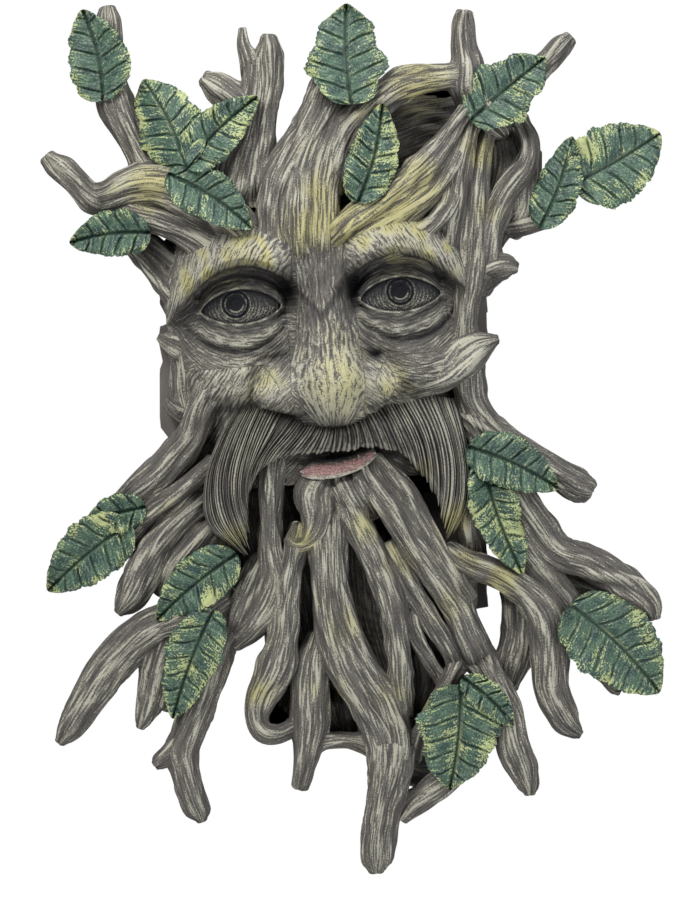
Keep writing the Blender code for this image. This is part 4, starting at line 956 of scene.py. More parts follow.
def face_lines(x, y, side, over, under, bag_row):
    """Carved lines over the face: thin crests whose phase follows each form.

    Nose and between the brows: lines of longitude that round the bulb. Round the eyes: distance from the
    lids. Under them: rows along the bag. Cheeks: rows along their lower edge. Brow: strokes that
    lean outward.
    """
    warp = 1.5 * ripple(x, y, 46.0, 11) + 0.8 * ripple(x, y, 17.0, 12)
    width = np.interp(y, [-80, -40, -10, 50, 88, 126, 134], [24.0, 19.0, 18.0, 24.0, 34.0, 12.0, 8.0]) / 18.0
    nose = (x - 5.0) / width + 0.5 * warp
    ring = np.where(over > -8.0, over, under + 14.0) + 0.9 * warp + 0.10 * side
    below = y - bag_row + 0.9 * warp
    cheek = np.where(x < 0.0, 0.80 * side - 0.60 * y, y + 0.0085 * (side - 100.0) ** 2) + 0.8 * warp
    edge = brow_edge(side)
    slant = 0.50 * (y - edge) - 0.86 * side + 0.7 * warp
    feet = y - 0.45 * (side - 118.0) + 1.5 * warp
    on_nose = np.clip(fold((x - 5.0) / width, 23.0) * 1.7, 0, 1)
    on_wings = 1.2 * hill(side, y, 58.0, 88.0, 22.0, 22.0)
    on_brow = ease(-4.0, 4.0, edge - y) * ease(16.0, 36.0, side)
    on_cheek = ease(54.0, 70.0, y) * ease(48.0, 70.0, side)
    on_bag = ease(-4.0, 6.0, y - bag_row) * (1.0 - on_cheek) * ease(30.0, 40.0, side)
    on_feet = ease(120.0, 130.0, side) * ease(-30.0, -10.0, y) * (1.0 - ease(56.0, 70.0, y))
    others = np.maximum.reduce([on_nose, on_wings, on_brow, on_cheek, on_bag, on_feet])
    weights = np.stack([on_nose, on_wings, on_brow, on_cheek, on_bag, on_feet, 1.0 - others])
    tilt = 0.75 * side - 0.50 * y + warp
    across = np.stack([nose, tilt, slant, cheek, below, feet, ring])
    rows = np.where(x < 0.0, 0.80 * y + 0.60 * side, side)
    along = np.stack([y, 0.75 * y + 0.50 * side, 0.86 * (y - edge) + 0.5 * side, rows, side, side, side])
    weights = np.clip(weights, 0.0, 1.0) ** 5
    first = np.argmax(weights, axis=0)[None]
    uv = np.concatenate([np.take_along_axis(across, first, 0), np.take_along_axis(along, first, 0)])
    turns = math.tau / 3.6
    total = weights.sum(axis=0) + 1e-6
    lines = (weights * crest(turns * across, 1.4)).sum(axis=0) / total
    second = (weights * crest(turns * 0.61 * across + 1.0, 1.4)).sum(axis=0) / total
    broken = 0.60 + 0.40 * ripple(x, y, 13.0, 14)
    return np.clip(lines * broken + 0.55 * second * (1.2 - broken), 0.0, 1.0), np.moveaxis(uv, 0, -1)


def face_skin(skin, carve):
    """The face as a surface over the sheet: depth = relief * (form + carved lines)."""
    rows, columns = FACE_GRID
    row = np.linspace(-80.0, 184.0, rows)[:, None]
    x = np.linspace(-1.0, 1.0, columns)[None, :] * head_half(row)
    y = row + 0.0 * x
    u, v = face_place(x, y)
    height, side, upper, lower, near, opening, bag_row = face_form(x, y)
    over, under = upper - y, y - lower
    lines, uv = face_lines(x, y, side, over, under, bag_row)
    rim = near * np.maximum(fold(over - 1.4, 1.3), fold(under - 1.4, 1.3)) * (1.0 - opening)
    rim = rim * (0.65 + 0.35 * ripple(x, y, 17.0, 24))
    quiet = np.clip(1.0 - opening - 0.85 * rim, 0.0, 1.0)
    on_nose = np.clip(hill(x, y, 6.0, 88.0, 40.0, 44.0) + hill(side, y, 54.0, 90.0, 24.0, 20.0), 0.0, 1.0)
    bumps = 0.45 * ripple(x, y, 24.0, 22) + 0.30 * ripple(x, y, 11.0, 23) + 0.22 * ripple(x, y, 5.2, 21)
    calm = np.maximum(0.75 * on_nose, 0.45 * ease(-4.0, 6.0, brow_edge(side) - y))
    cut = carve * quiet * (1.45 * (1.0 - calm) * (lines - 0.45) + bumps * (1.0 - 0.3 * on_nose))
    depth = RELIEF * height + UNIT * cut
    melting = np.maximum(ease(84.0, 92.0, side), ease(-30.0, -36.0, y))
    depth = depth + UNIT * fillet(u, v, depth, "", face=False) * melting
    depth = np.maximum(depth, FACE_LEAST)
    points = push_back(on_sheet(u, v, depth))
    skin_relief, skin_paint = face_paint(x, y, u, v, depth, side, over, under, bag_row, near, opening, rim,
                                         lines * quiet, on_nose)
    uv = uv * UNIT * GRAIN_SCALE + 3.0 * (x < 1.0)[..., None]
    flip = slice(None, None, -1)
    skin.add(points[flip], uv[flip], skin_relief[flip], skin_paint[flip])
    close_behind(skin, points[flip])


def face_paint(x, y, u, v, depth, side, over, under, bag_row, near, opening, rim, lines, on_nose):
    """Relief and paint of the face: dark wash and painted shade round the eyes, under the brow and cheeks,
    beside and under the nose; cream on brow, bags, nose and cheeks.
    """
    edge = brow_edge(side)
    patch = 0.5 + 0.5 * ripple(x, y, 27.0, 51)
    # Painted shade and dark wash in the face's hollows
    hollow = 0.7 * hollow_at(u, v, depth)
    socket = hill(side, y, 80.0, 0.0, 56.0, 32.0) * (1.0 - ease(-2.0, 6.0, edge - y))
    inner = 1.05 * hill(side, y, 33.0, -10.0, 11.0, 26.0)
    lid_shade = near * np.maximum(fold(over - 15.0, 4.2), 0.62 * fold(under - 8.5, 6.0))
    crease = fold(y - bag_row, 5.0) * (1.0 - ease(44.0, 60.0, np.abs(side - 86.0)))
    under_brow = ease(-16.0, -3.0, edge - y) * (1.0 - ease(-1.0, 4.0, edge - y))
    under_brow = under_brow * (1.0 - ease(110.0, 130.0, side))
    beside_nose = hill(side, y, 44.0, 50.0, 13.0, 16.0)
    between = (1.0 - ease(12.0, 30.0, side)) * fold(y + 30.0, 22.0)
    under_cheek = fold(y - 101.0 + 0.0085 * (side - 100.0) ** 2 - 3.0, 5.0) * ease(60.0, 80.0, side)
    pit = hill(x, y, 51.0, 60.0, 10.0, 5.5)
    under_nose = 0.75 * hill(x, y, 6.0, 133.0, 70.0, 9.0)
    # dark: painted shade with dark wash in the sockets, lid creases, inner eye corners, under the brow,
    # beside and under the nose, between the brows, under the cheeks, in the nostril pits and eye openings;
    # raised rims, bags, brow and nose keep less of it
    dark = np.maximum.reduce([0.66 * socket, np.clip(inner, 0, 1) * 0.9, 0.88 * lid_shade, 0.66 * crease,
                              0.58 * under_brow, 0.50 * beside_nose, 0.55 * between * patch,
                              0.5 * under_cheek, 0.98 * opening, pit, under_nose])
    brow = ease(-1.0, 5.0, edge - y) * (1.0 - ease(26.0, 48.0, edge - y)) * ease(22.0, 40.0, side)
    brow = brow * (1.0 - ease(138.0, 160.0, side)) * (0.55 + 0.45 * patch)
    bag = near * fold(under - 19.0, 8.0) * (0.45 + 0.55 * patch)
    cheek = hill(side, y, 100.0, 84.0, 36.0, 17.0)
    pale = np.maximum.reduce([0.7 * brush_of(u, v, PALE_SPOTS), 0.90 * brow, 0.75 * bag, 0.36 * cheek * patch,
                              0.26 * on_nose, 0.90 * rim])
    yellow = np.maximum(0.6 * brush_of(u, v, YELLOW_SPOTS), (0.42 * on_nose + 0.75 * brow) * patch)
    lift = np.maximum.reduce([rim, 0.75 * bag, 0.85 * brow, 0.8 * on_nose])
    dark = dark * (1.0 - 0.85 * lift)
    top = 0.36 + 0.50 * np.maximum.reduce([on_nose, 0.9 * brow, 0.9 * bag, 0.5 * cheek])
    lines = lines + 0.62 * on_nose * (0.62 - lines)
    line = 0.85 * ease(0.35, 0.85, rim)
    relief = measures(np.clip(lines + 0.9 * rim, 0, 1), hollow, top, line)
    return relief, measures(yellow, 0.0, dark, pale)


def close_behind(skin, front):
    """Close an open front grid with walls back to a flat sheet just in front of the wall."""
    rows, columns = front.shape[:2]
    first = skin.count - rows * columns
    index = np.arange(rows * columns).reshape(rows, columns) + first
    rim = rim_of(index)
    behind = rim_of(front)
    behind[:, 1] = -BACK_GAP
    behind = push_back(behind)
    count = len(rim)
    second = np.arange(count) + skin.count
    pole = np.full(count, skin.count + count)
    middle = behind.mean(axis=0)
    middle[1] = -KEYHOLE_DEPTH - POCKET_WALL
    skin.points.append(np.vstack([behind, middle[None]]))
    # The back and its walls get painted shade: a deep hollow share
    back_with_painted_shade = np.tile([0.3, 0.8, 0.0, 0.0], (count + 1, 1))
    skin.relief.append(back_with_painted_shade)
    skin.paint.append(np.zeros((count + 1, 4)))
    skin.quads.append(np.stack([np.roll(rim, -1), rim, second, np.roll(second, -1)], axis=-1))
    skin.quad_uv.append(np.zeros((count, 4, 2)))
    skin.triangles.append(np.stack([np.roll(second, -1), second, pole], axis=-1))
    skin.triangle_uv.append(np.zeros((count, 3, 2)))
    skin.count += count + 1


def eye_skin(skin, middle_x):
    """An eyeball: depth = socket + ball - rings, over rings round the iris.

    Rings: raised ones at 14.6 and 10.6, grooves at 12.6 and 8.8, and a sunk pupil that starts
    at 7.4 sheet steps.
    """
    reach = np.concatenate([np.linspace(0.02, 16.0, 56), np.linspace(16.8, 43.0, 30)])
    turn = np.linspace(0.0, math.tau, 97)
    r, a = np.meshgrid(reach, turn, indexing="ij")
    squash = 1.0 - 0.36 * ease(14.0, 34.0, r)
    x = middle_x + r * np.cos(a)
    y = -0.6 + 3.0 * ease(14.0, 34.0, r) + r * squash * np.sin(a)
    side = np.abs(x - 1.0)
    height = eyeball(side, y)
    rings = 0.0090 * fold(r - 14.6, 1.1) - 0.0080 * fold(r - 12.6, 0.9) + 0.0050 * fold(r - 10.6, 0.8)
    rings = rings - 0.0060 * fold(r - 8.8, 0.7) - 0.012 * (1.0 - ease(6.0, 7.4, r))
    height = height + rings - 0.004 * ease(15.0, 17.0, r) * crest(math.tau * r / 3.4, 1.0)
    points = on_sheet(*face_place(x, y), RELIEF * height)
    grime = 0.5 + 0.5 * ripple(x, y, 8.0, 31)
    upper, lower, across = lid_rows(side)
    iris = 1.0 - ease(14.4, 15.8, r)
    # edge: painted shade of the lids along their edges and at the corners of the eye
    edge = np.maximum(ease(9.0, 0.0, y - upper), 0.8 * ease(5.0, 0.0, lower - y))
    edge = np.maximum(edge, ease(0.55, 1.0, np.abs(across)))
    rings = np.maximum(0.90 * fold(r - 14.8, 0.8) * (0.4 + 0.6 * grime), 0.55 * fold(r - 10.7, 0.7) * grime)
    rings = np.maximum(rings, 0.75 * fold(r - 18.0, 2.2) * ease(0.45, 0.9, np.sin(a)) * grime)
    # glint: a painted highlight beside the pupil
    glint = 0.9 * fold(r - 7.8, 0.8) * ease(0.2, 0.7, np.cos(a - 1.3))
    white = (1.0 - iris) * (0.22 + 0.78 * ease(-2.0, 8.0, y)) * (0.45 + 0.55 * grime)
    arcs = crest(math.tau * r / 3.4 + 1.2 * ripple(x, y, 9.0, 32), 1.6)
    # Cream rings, eye white and the painted glint, less the painted shade of the lids
    pale_and_glint = np.maximum.reduce([rings, glint, white * (0.10 + 0.75 * arcs)]) * (1.0 - 0.92 * edge)
    pale_and_glint = np.clip(pale_and_glint, 0.0, 1.0)
    # Dark eye paint, darker still in the painted shade of the lids
    dark = np.clip(0.90 + 0.10 * iris + 0.10 * edge, 0.0, 1.0)
    relief = measures(0.25 + 0.6 * pale_and_glint, 0.0, 0.5, pale_and_glint)
    paint = measures(0.0, 0.0, dark, np.clip(0.9 * pale_and_glint, 0, 1))
    uv = grain_uv(r, 22.0 * a)
    flip = slice(None, None, -1)
    skin.add(points[:, flip][:, 1:], uv[:, flip], relief[:, flip][:, 1:], paint[:, flip][:, 1:],
             closed=True, caps=True)


def net_surface(net, rows, columns):
    """Smooth surface through a net of stations: Catmull-Rom curves one way, then the other."""
    def resample(values, count):
        """The curve through the values, read at evenly spaced places."""
        before = np.concatenate([2 * values[:1] - values[1:2], values, 2 * values[-1:] - values[-2:-1]])
        place = np.linspace(0.0, len(values) - 1 - 1e-6, count)
        cell = place.astype(int)
        t = (place - cell).reshape(-1, *([1] * (values.ndim - 1)))
        return curve(before[cell], before[cell + 1], before[cell + 2], before[cell + 3], t)

    across = resample(net, rows)
    return np.swapaxes(resample(np.swapaxes(across, 0, 1), columns), 0, 1)


def moustache_skin(skin, carve):
    """The moustache: hairs fan from under the nose; depth = swell + lift, rounded at the hem.

    One parameter h runs from hair to hair, the other t from root to tip of each hair.
    """
    rows, columns = HAIR_GRID
    surface = net_surface(np.array(HAIR_NET, dtype=float), rows, columns)
    h = np.linspace(0.0, 1.0, rows)[:, None]
    t = np.linspace(0.0, 1.0, columns)[None, :]
    wander = 1.1 * ripple(60 * h, 1.3 * t, 9.0, 41) + 0.5 * ripple(60 * h, 2.6 * t, 4.0, 42)
    wander = wander + 0.55 * ripple(200 * h, 3.0 * t, 7.0, 44)
    strands = crest(math.tau * 78 * h + 2.0 * wander, 1.3)
    second = crest(math.tau * 121 * h + 2.4 * wander + 1.0, 1.5)
    locks = crest(math.tau * 19 * h + 2.2 * wander, 0.7)
    broken = 0.65 + 0.35 * ripple(90 * h, 9 * t, 11.0, 43)
    hair = strands * broken + 0.5 * second * (1.2 - broken)
    hem = np.sqrt(np.clip(1.0 - ((t - 0.86) / 0.16).clip(0, 1) ** 2, 0.0, 1.0))
    ends = np.sqrt(np.clip(1.0 - (np.abs(h - 0.5) * 2 - 0.95).clip(0, None) / 0.05, 0.0, 1.0))
    root = ease(0.0, 0.10, t)
    along = np.gradient(surface, axis=1) * (columns - 1)
    shorter = (0.035 * (1.0 - strands) + 0.075 * (1.0 - locks)) * ease(0.72, 1.0, t)
    surface = surface - along * shorter[..., None]
    u, v, lift = surface[..., 0], surface[..., 1], surface[..., 2]
    depth = RELIEF * (swell(u, v) + lift) - HAIR_THICK * (1.0 - hem * ends) - 0.002 * (1 - root)
    depth = depth + UNIT * carve * (3.3 * (hair - 0.45) + 4.0 * (locks - 0.5)) * (0.35 + 0.65 * hem) * root
    points = on_sheet(u, v, depth)
    # Painted shade and dark wash in the hollows, and painted shade under the nose at the moustache's roots
    hollow = 0.5 * hollow_at(u, v, depth)
    dark = 0.62 * hill(u, v, 330.0, 420.0, 62.0, 22.0) + 0.08
    yellow = brush_of(u, v, YELLOW_SPOTS)
    pale = np.maximum(brush_of(u, v, PALE_SPOTS), 0.85 * ease(0.72, 0.92, t))
    broken = ease(0.25, 0.75, 0.5 + 0.5 * ripple(150 * h, 22 * t, 5.0, 45))
    line = ease(0.45, 0.80, hair) * (0.40 + 0.60 * locks) * broken * (1.0 - dark)
    relief = measures(np.clip(1.35 * hair - 0.15, 0, 1), hollow, 0.35 + 0.6 * locks, line)
    # Dark wash and painted shade in the grooves between the hairs and locks, less of it at the hem
    dark = np.maximum(dark, 0.80 * (1.0 - ease(0.06, 0.42, hair * (0.6 + 0.6 * locks))))
    paint = measures(yellow, 0.0, dark * (1.0 - 0.6 * ease(0.8, 0.95, t)), pale)
    thin_body(skin, points, grain_uv(h * 360.0, 120.0 * t), relief, paint, HAIR_THICK)


def thin_body(skin, points, uv, relief, paint, thick):
    """A sheet, its copy behind it, and a wall that joins their rims into one closed body."""
    rows, columns = points.shape[:2]
    skin.add(points, uv, relief, paint)
    behind = push_back(points + np.array([0.0, thick, 0.0]))
    # The back sheet carries painted shade: a deep hollow share and dark paint, which the rim wall fades into
    plain = np.tile([0.3, 0.9, 0.0, 0.0], (rows, columns, 1))
    dark = np.tile([0.0, 0.0, 0.9, 0.0], (rows, columns, 1))
    skin.add(behind[:, ::-1], uv[:, ::-1], plain, dark)
    back = np.arange(rows * columns).reshape(rows, columns)[:, ::-1] + skin.count - rows * columns
    front = np.arange(rows * columns).reshape(rows, columns) + skin.count - 2 * rows * columns
    rim_front, rim_back = rim_of(front), rim_of(back)
    skin.quads.append(np.stack([np.roll(rim_front, -1), rim_front, rim_back, np.roll(rim_back, -1)], axis=-1))
    skin.quad_uv.append(np.zeros((len(rim_front), 4, 2)))


def lip_skin(skin):
    """The lower lip: a shallow sheet from the mouth down to its rim, pink but for the rim, with painted shade
    along the mouth.
    """
    rows, columns = LIP_GRID
    surface = net_surface(np.array(LOWER_LIP, dtype=float), rows, columns)
    u, v, lift = surface[..., 0], surface[..., 1], surface[..., 2]
    t = np.linspace(0.0, 1.0, columns)[None, :] + 0.0 * u
    h = np.linspace(0.0, 1.0, rows)[:, None] + 0.0 * u
    wrinkle = crest(math.tau * u / 4.6 + 1.4 * ripple(u, v, 11.0, 61), 1.3)
    rough = ripple(u, v, 8.0, 62) + 0.7 * ripple(u, v, 3.6, 63)
    folds = (0.00018 * wrinkle + 0.00016 * rough) * (1.0 - ease(0.65, 0.90, t))
    depth = RELIEF * (swell(u, v) + lift) + folds
    mottle = 0.5 + 0.5 * ripple(u, v, 12.0, 64)
    pink = ease(0.10, 0.30, t) * (1.0 - ease(0.70, 0.92, t)) * (0.55 + 0.45 * mottle)
    pink = pink * ease(0.0, 0.10, h) * (1.0 - ease(0.90, 1.0, h))
    relief = measures(0.3 + 0.5 * wrinkle, 0.0, 1.0, 0.0)
    # Dark at the mouth edge: painted shade; pale cream on the rim
    paint = measures(0.0, pink, 0.85 * (1.0 - ease(0.0, 0.30, t)), 0.8 * ease(0.70, 0.95, t))
    thin_body(skin, on_sheet(u, v, depth), grain_uv(v, u), relief, paint, LIP_THICK)


def leaf_skin(skin, leaf, seed):
    """A leaf: half width w(t) with teeth, veins sunk between puffed fields, closed by its back.

    t runs from base to tip, a from edge to edge; a side vein lies where t - 0.26 |a| is even.
    """
    dice = np.random.default_rng(seed)
    rows, columns = LEAF_GRID
    t = np.linspace(0.0, 1.0, rows)[:, None]
    a = np.sin(np.linspace(-math.pi / 2, math.pi / 2, columns))[None, :]
    base, tip = np.array(leaf.base, dtype=float), np.array(leaf.tip, dtype=float)
    run = tip - base
    length = np.linalg.norm(run)
    across = np.array([-run[1], run[0]]) / length
    veins = max(4, round(length / 17.5))
    phase = dice.uniform(0, 1, 3)
    shift = phase[0] + 0.25 * (a > 0)
    oval = np.clip(t, 0.0, 1.0) ** 0.50 * np.clip(1.0 - t, 0.0, 1.0) ** 0.78 / 0.424
    at_edge = (t - (0.62 * leaf.half * oval - 0.006 * (leaf.half * oval) ** 2) / length) * veins + shift
    lobe = np.abs(np.sin(math.pi * at_edge)) ** 0.55
    small = (at_edge * 3.0 + 0.4 * ripple(t * length, 30 * np.sign(a), 31.0, seed + 6)) % 1.0
    ragged = 0.040 * ripple(t * length, 40 * np.sign(a), 27.0, seed + 1)
    width = leaf.half * (0.04 + 0.98 * oval) * (1.0 + leaf.lobes * np.cos(5.0 * math.pi * t))
    width = width * (1.0 + (0.085 * (lobe - 0.75) + 0.050 * (small - 0.4) + ragged) * np.abs(a) ** 5)
    out = leaf.bow * np.sin(math.pi * t) + a * width
    u = base[0] + run[0] * t + across[0] * out
    v = base[1] + run[1] * t + across[1] * out
    lift = leaf.lift_base + (leaf.lift_tip - leaf.lift_base) * t
    lift = lift + 0.03 * np.sin(math.pi * t) + leaf.fold * (np.abs(a) - 0.4) + leaf.roll * a
    to_middle = np.abs(a) * width
    reach = (t * length - 0.62 * to_middle + 0.006 * to_middle ** 2) / length
    reach = reach + 0.010 * ripple(t * 9, a * 3, 3.0, seed + 2)
    field = (reach * veins + shift) % 1.0
    to_side = np.minimum(field, 1.0 - field) / veins * length
    taper = 1.0 - 0.55 * t
    rib = np.exp(-(to_middle / (1.5 * taper)) ** 2)
    fade = ease(0.0, 0.10, np.abs(a)) * (1.0 - ease(0.74, 0.98, np.abs(a)))
    side_vein = np.exp(-(to_side / 0.95) ** 2) * fade
    flank = np.exp(-((to_middle - 3.0) / 1.3) ** 2)
    flank = np.maximum(flank, np.exp(-((to_side - 2.3) / 1.0) ** 2) * fade)
    puff = np.sin(math.pi * field) ** 0.6 * ease(0.0, 0.25, np.abs(a)) * (1.0 - ease(0.82, 1.0, np.abs(a)))
    crumple = ripple(u, v, 13.0, seed + 3) + 0.6 * ripple(u, v, 6.0, seed + 4)
    streak = crest(math.tau * (reach * length / 3.4) + 1.5 * ripple(u, v, 12.0, seed + 7), 1.2)
    carve = 0.00080 * puff + 0.00045 * flank - 0.00070 * np.maximum(rib * 0.9, side_vein)
    carve = carve + 0.00018 * crumple + 0.00012 * streak
    wave = 0.0016 * np.sin(math.tau * (t * 2.2 + phase[0]) + np.sign(a)) * np.abs(a) ** 3
    thick = LEAF_THICK * (1.0 - 0.55 * np.abs(a) ** 4)
    middle = RELIEF * (swell(u, v) + lift) + wave
    front = on_sheet(u, v, middle + 0.5 * thick + carve)
    back = on_sheet(u, v, middle - 0.5 * thick)[:, LEAF_BACK]
    points = np.concatenate([front, back[:, ::-1]], axis=1)
    vein = np.maximum(rib, 0.80 * side_vein)
    rim = np.clip(ease(0.55, 0.97, np.abs(a)) + ease(0.90, 1.0, t), 0, 1)
    shade = dice.uniform(-0.10, 0.10)
    yellow = 1.1 * brush_of(u, v, LEAF_YELLOW) + 0.06 + shade + 0.30 * ripple(u, v, 34.0, seed + 5)
    worn = 0.5 + shade + 0.5 * ripple(u, v, 22.0, seed + 8)
    crests = np.clip(0.06 + 0.55 * flank + 0.34 * puff * ease(0.2, 0.9, np.abs(a)) + 0.28 * streak, 0, 1)
    relief_front = measures(vein, 0.0, crests, rim)
    paint_front = measures(yellow.clip(0, 1), worn.clip(0, 1), 0.0, 0.0)
    # The back gets painted shade: a hollow share that darkens it towards the vein green
    relief_back = np.tile([0.0, 0.45, 0.2, 0.0], (rows, back.shape[1], 1))
    paint_back = np.tile([0.05, 0.4, 0.0, 0.0], (rows, back.shape[1], 1))
    relief = np.concatenate([relief_front, relief_back], axis=1)
    paint = np.concatenate([paint_front, paint_back], axis=1)
    uv = grain_uv(to_middle, reach * length + 40.0 * np.sign(a))
    uv = np.concatenate([uv, uv[:, LEAF_BACK][:, ::-1], uv[:, :1]], axis=1)
    skin.add(points[:, ::-1], uv[:, ::-1], relief[:, ::-1], paint[:, ::-1], closed=True, caps=True)


# Materials

def node(tree, kind, x, y, **settings):
    """Add a node, place it and set its fields."""
    made = tree.nodes.new(kind)
    made.location = (x, y)
    for field, value in settings.items():
        setattr(made, field, value)
    return made


def wire(tree, *pairs):
    """Link each socket to the next of its pair."""
    for source, target in pairs:
        tree.links.new(source, target)


def feed(tree, socket, value):
    """Set a socket to a number or a colour, or link another socket to it."""
    if isinstance(value, (int, float)):
        socket.default_value = value
    elif hasattr(value, "__len__"):
        socket.default_value = (*tuple(value)[:3], 1.0)
    else:
        tree.links.new(value, socket)


def maths(tree, kind, first, second, clamp=False):
    """A Math node on sockets or numbers, and its result."""
    made = node(tree, "ShaderNodeMath", 0, 0, operation=kind, use_clamp=clamp)
    feed(tree, made.inputs[0], first)
    feed(tree, made.inputs[1], second)
    return made.outputs[0]


def plus(tree, first, second, clamp=False):
    """Sum of two sockets or numbers."""
    return maths(tree, "ADD", first, second, clamp)


def times(tree, first, second):
    """Product of two sockets or numbers."""
    return maths(tree, "MULTIPLY", first, second)


def blend(tree, share, first, second):
    """Mix two colours by a share, and the result."""
    made = node(tree, "ShaderNodeMix", 0, 0, data_type="RGBA")
    for name, value in (("Factor", share), ("A", first), ("B", second)):
        socket = [s for s in made.inputs if s.name == name and (name == "Factor" or s.type == "RGBA")][0]
        feed(tree, socket, value)
    return [s for s in made.outputs if s.type == "RGBA"][0]


def step(tree, value, low, high):
    """Smooth step of a value from low to high."""
    made = node(tree, "ShaderNodeMapRange", 0, 0, interpolation_type="SMOOTHSTEP")
    for name, source in (("Value", value), ("From Min", low), ("From Max", high)):
        feed(tree, made.inputs[name], source)
    return made.outputs["Result"]


def noise(tree, x, y, vector, dimensions="3D", **values):
    """A noise texture on a vector, with its own values, and its strength."""
    made = node(tree, "ShaderNodeTexNoise", x, y, noise_dimensions=dimensions)
    for name, value in values.items():
        made.inputs[name].default_value = value
    wire(tree, (vector, made.inputs["Vector"]))
    return made.outputs["Fac"]


def finish_shader(tree, shader, colour, height, strength, distance):
    """Give a shader its colour, and fine relief from a height."""
    bump = node(tree, "ShaderNodeBump", -200, -400)
    bump.inputs["Strength"].default_value = strength
    bump.inputs["Distance"].default_value = distance
    wire(tree, (colour, shader.inputs["Base Color"]), (height, bump.inputs["Height"]),
         (bump.outputs[0], shader.inputs["Normal"]))


def new_group(name, inputs, outputs):
    """An empty node group with named sockets: (name, kind, default)."""
    group = bpy.data.node_groups.new(name, "ShaderNodeTree")
    for label, kind, default in inputs:
        socket = group.interface.new_socket(name=label, in_out="INPUT", socket_type=kind)
        if default is not None:
            socket.default_value = default
    for label, kind in outputs:
        group.interface.new_socket(name=label, in_out="OUTPUT", socket_type=kind)
    start = node(group, "NodeGroupInput", -900, 0)
    end = node(group, "NodeGroupOutput", 700, 0)
    return group, start, end


def fibre_group():
    """Fine fibres: noise on grain coordinates, drawn out along the grain, with tiny pits."""
    group, start, end = new_group(
        "wood fibres",
        (("Vector", "NodeSocketVector", None), ("Across", "NodeSocketFloat", 95.0),
         ("Along", "NodeSocketFloat", 9.0)),
        (("Height", "NodeSocketFloat"), ("Broken", "NodeSocketFloat"), ("Pits", "NodeSocketFloat")))
    scale = node(group, "ShaderNodeCombineXYZ", -700, -100)
    wire(group, (start.outputs["Across"], scale.inputs[0]), (start.outputs["Along"], scale.inputs[1]))
    drawn = node(group, "ShaderNodeVectorMath", -500, 0, operation="MULTIPLY")
    wire(group, (start.outputs["Vector"], drawn.inputs[0]), (scale.outputs[0], drawn.inputs[1]))
    fine = noise(group, -300, 100, drawn.outputs[0], "2D", Scale=1.0, Detail=3.0, Roughness=0.62,
                 Distortion=0.25)
    rough = noise(group, -300, -100, drawn.outputs[0], "2D", Scale=0.33, Detail=3.0, Roughness=0.7)
    pits = noise(group, -300, -300, start.outputs["Vector"], "2D", Scale=170.0, Detail=2.0)
    wire(group, (fine, end.inputs["Height"]), (rough, end.inputs["Broken"]), (pits, end.inputs["Pits"]))
    return group


def drybrush_group():
    """Drybrushed paint: it catches where height plus broken patches pass a threshold."""
    group, start, end = new_group(
        "drybrush",
        (("Height", "NodeSocketFloat", 0.5), ("Broken", "NodeSocketFloat", 0.5),
         ("Load", "NodeSocketFloat", 0.5), ("Sheltered", "NodeSocketFloat", 0.0)),
        (("Mask", "NodeSocketFloat"),))
    patch = times(group, maths(group, "SUBTRACT", start.outputs["Broken"], 0.5), 0.55)
    total = plus(group, start.outputs["Height"], patch)
    low = maths(group, "SUBTRACT", 0.80, times(group, start.outputs["Load"], 0.56))
    mask = step(group, total, low, plus(group, low, 0.12))
    open_share = maths(group, "SUBTRACT", 1.0, start.outputs["Sheltered"], clamp=True)
    wire(group, (times(group, mask, open_share), end.inputs["Mask"]))
    return group


def new_material(name):
    """A material with its Principled shader."""
    material = bpy.data.materials.new(name)
    material.use_nodes = True
    return material, material.node_tree, material.node_tree.nodes["Principled BSDF"]


def attribute_parts(tree, name, y):
    """Red, green, blue and alpha of a painted attribute."""
    source = node(tree, "ShaderNodeAttribute", -1500, y, attribute_name=name)
    parts = node(tree, "ShaderNodeSeparateColor", -1300, y)
    wire(tree, (source.outputs["Color"], parts.inputs[0]))
    return parts.outputs[0], parts.outputs[1], parts.outputs[2], source.outputs["Alpha"]


def place_group(tree, group, x, y, **values):
    """Put a shared group into a material with its own values."""
    made = node(tree, "ShaderNodeGroup", x, y, node_tree=group)
    for name, value in values.items():
        feed(tree, made.inputs[name], value)
    return made


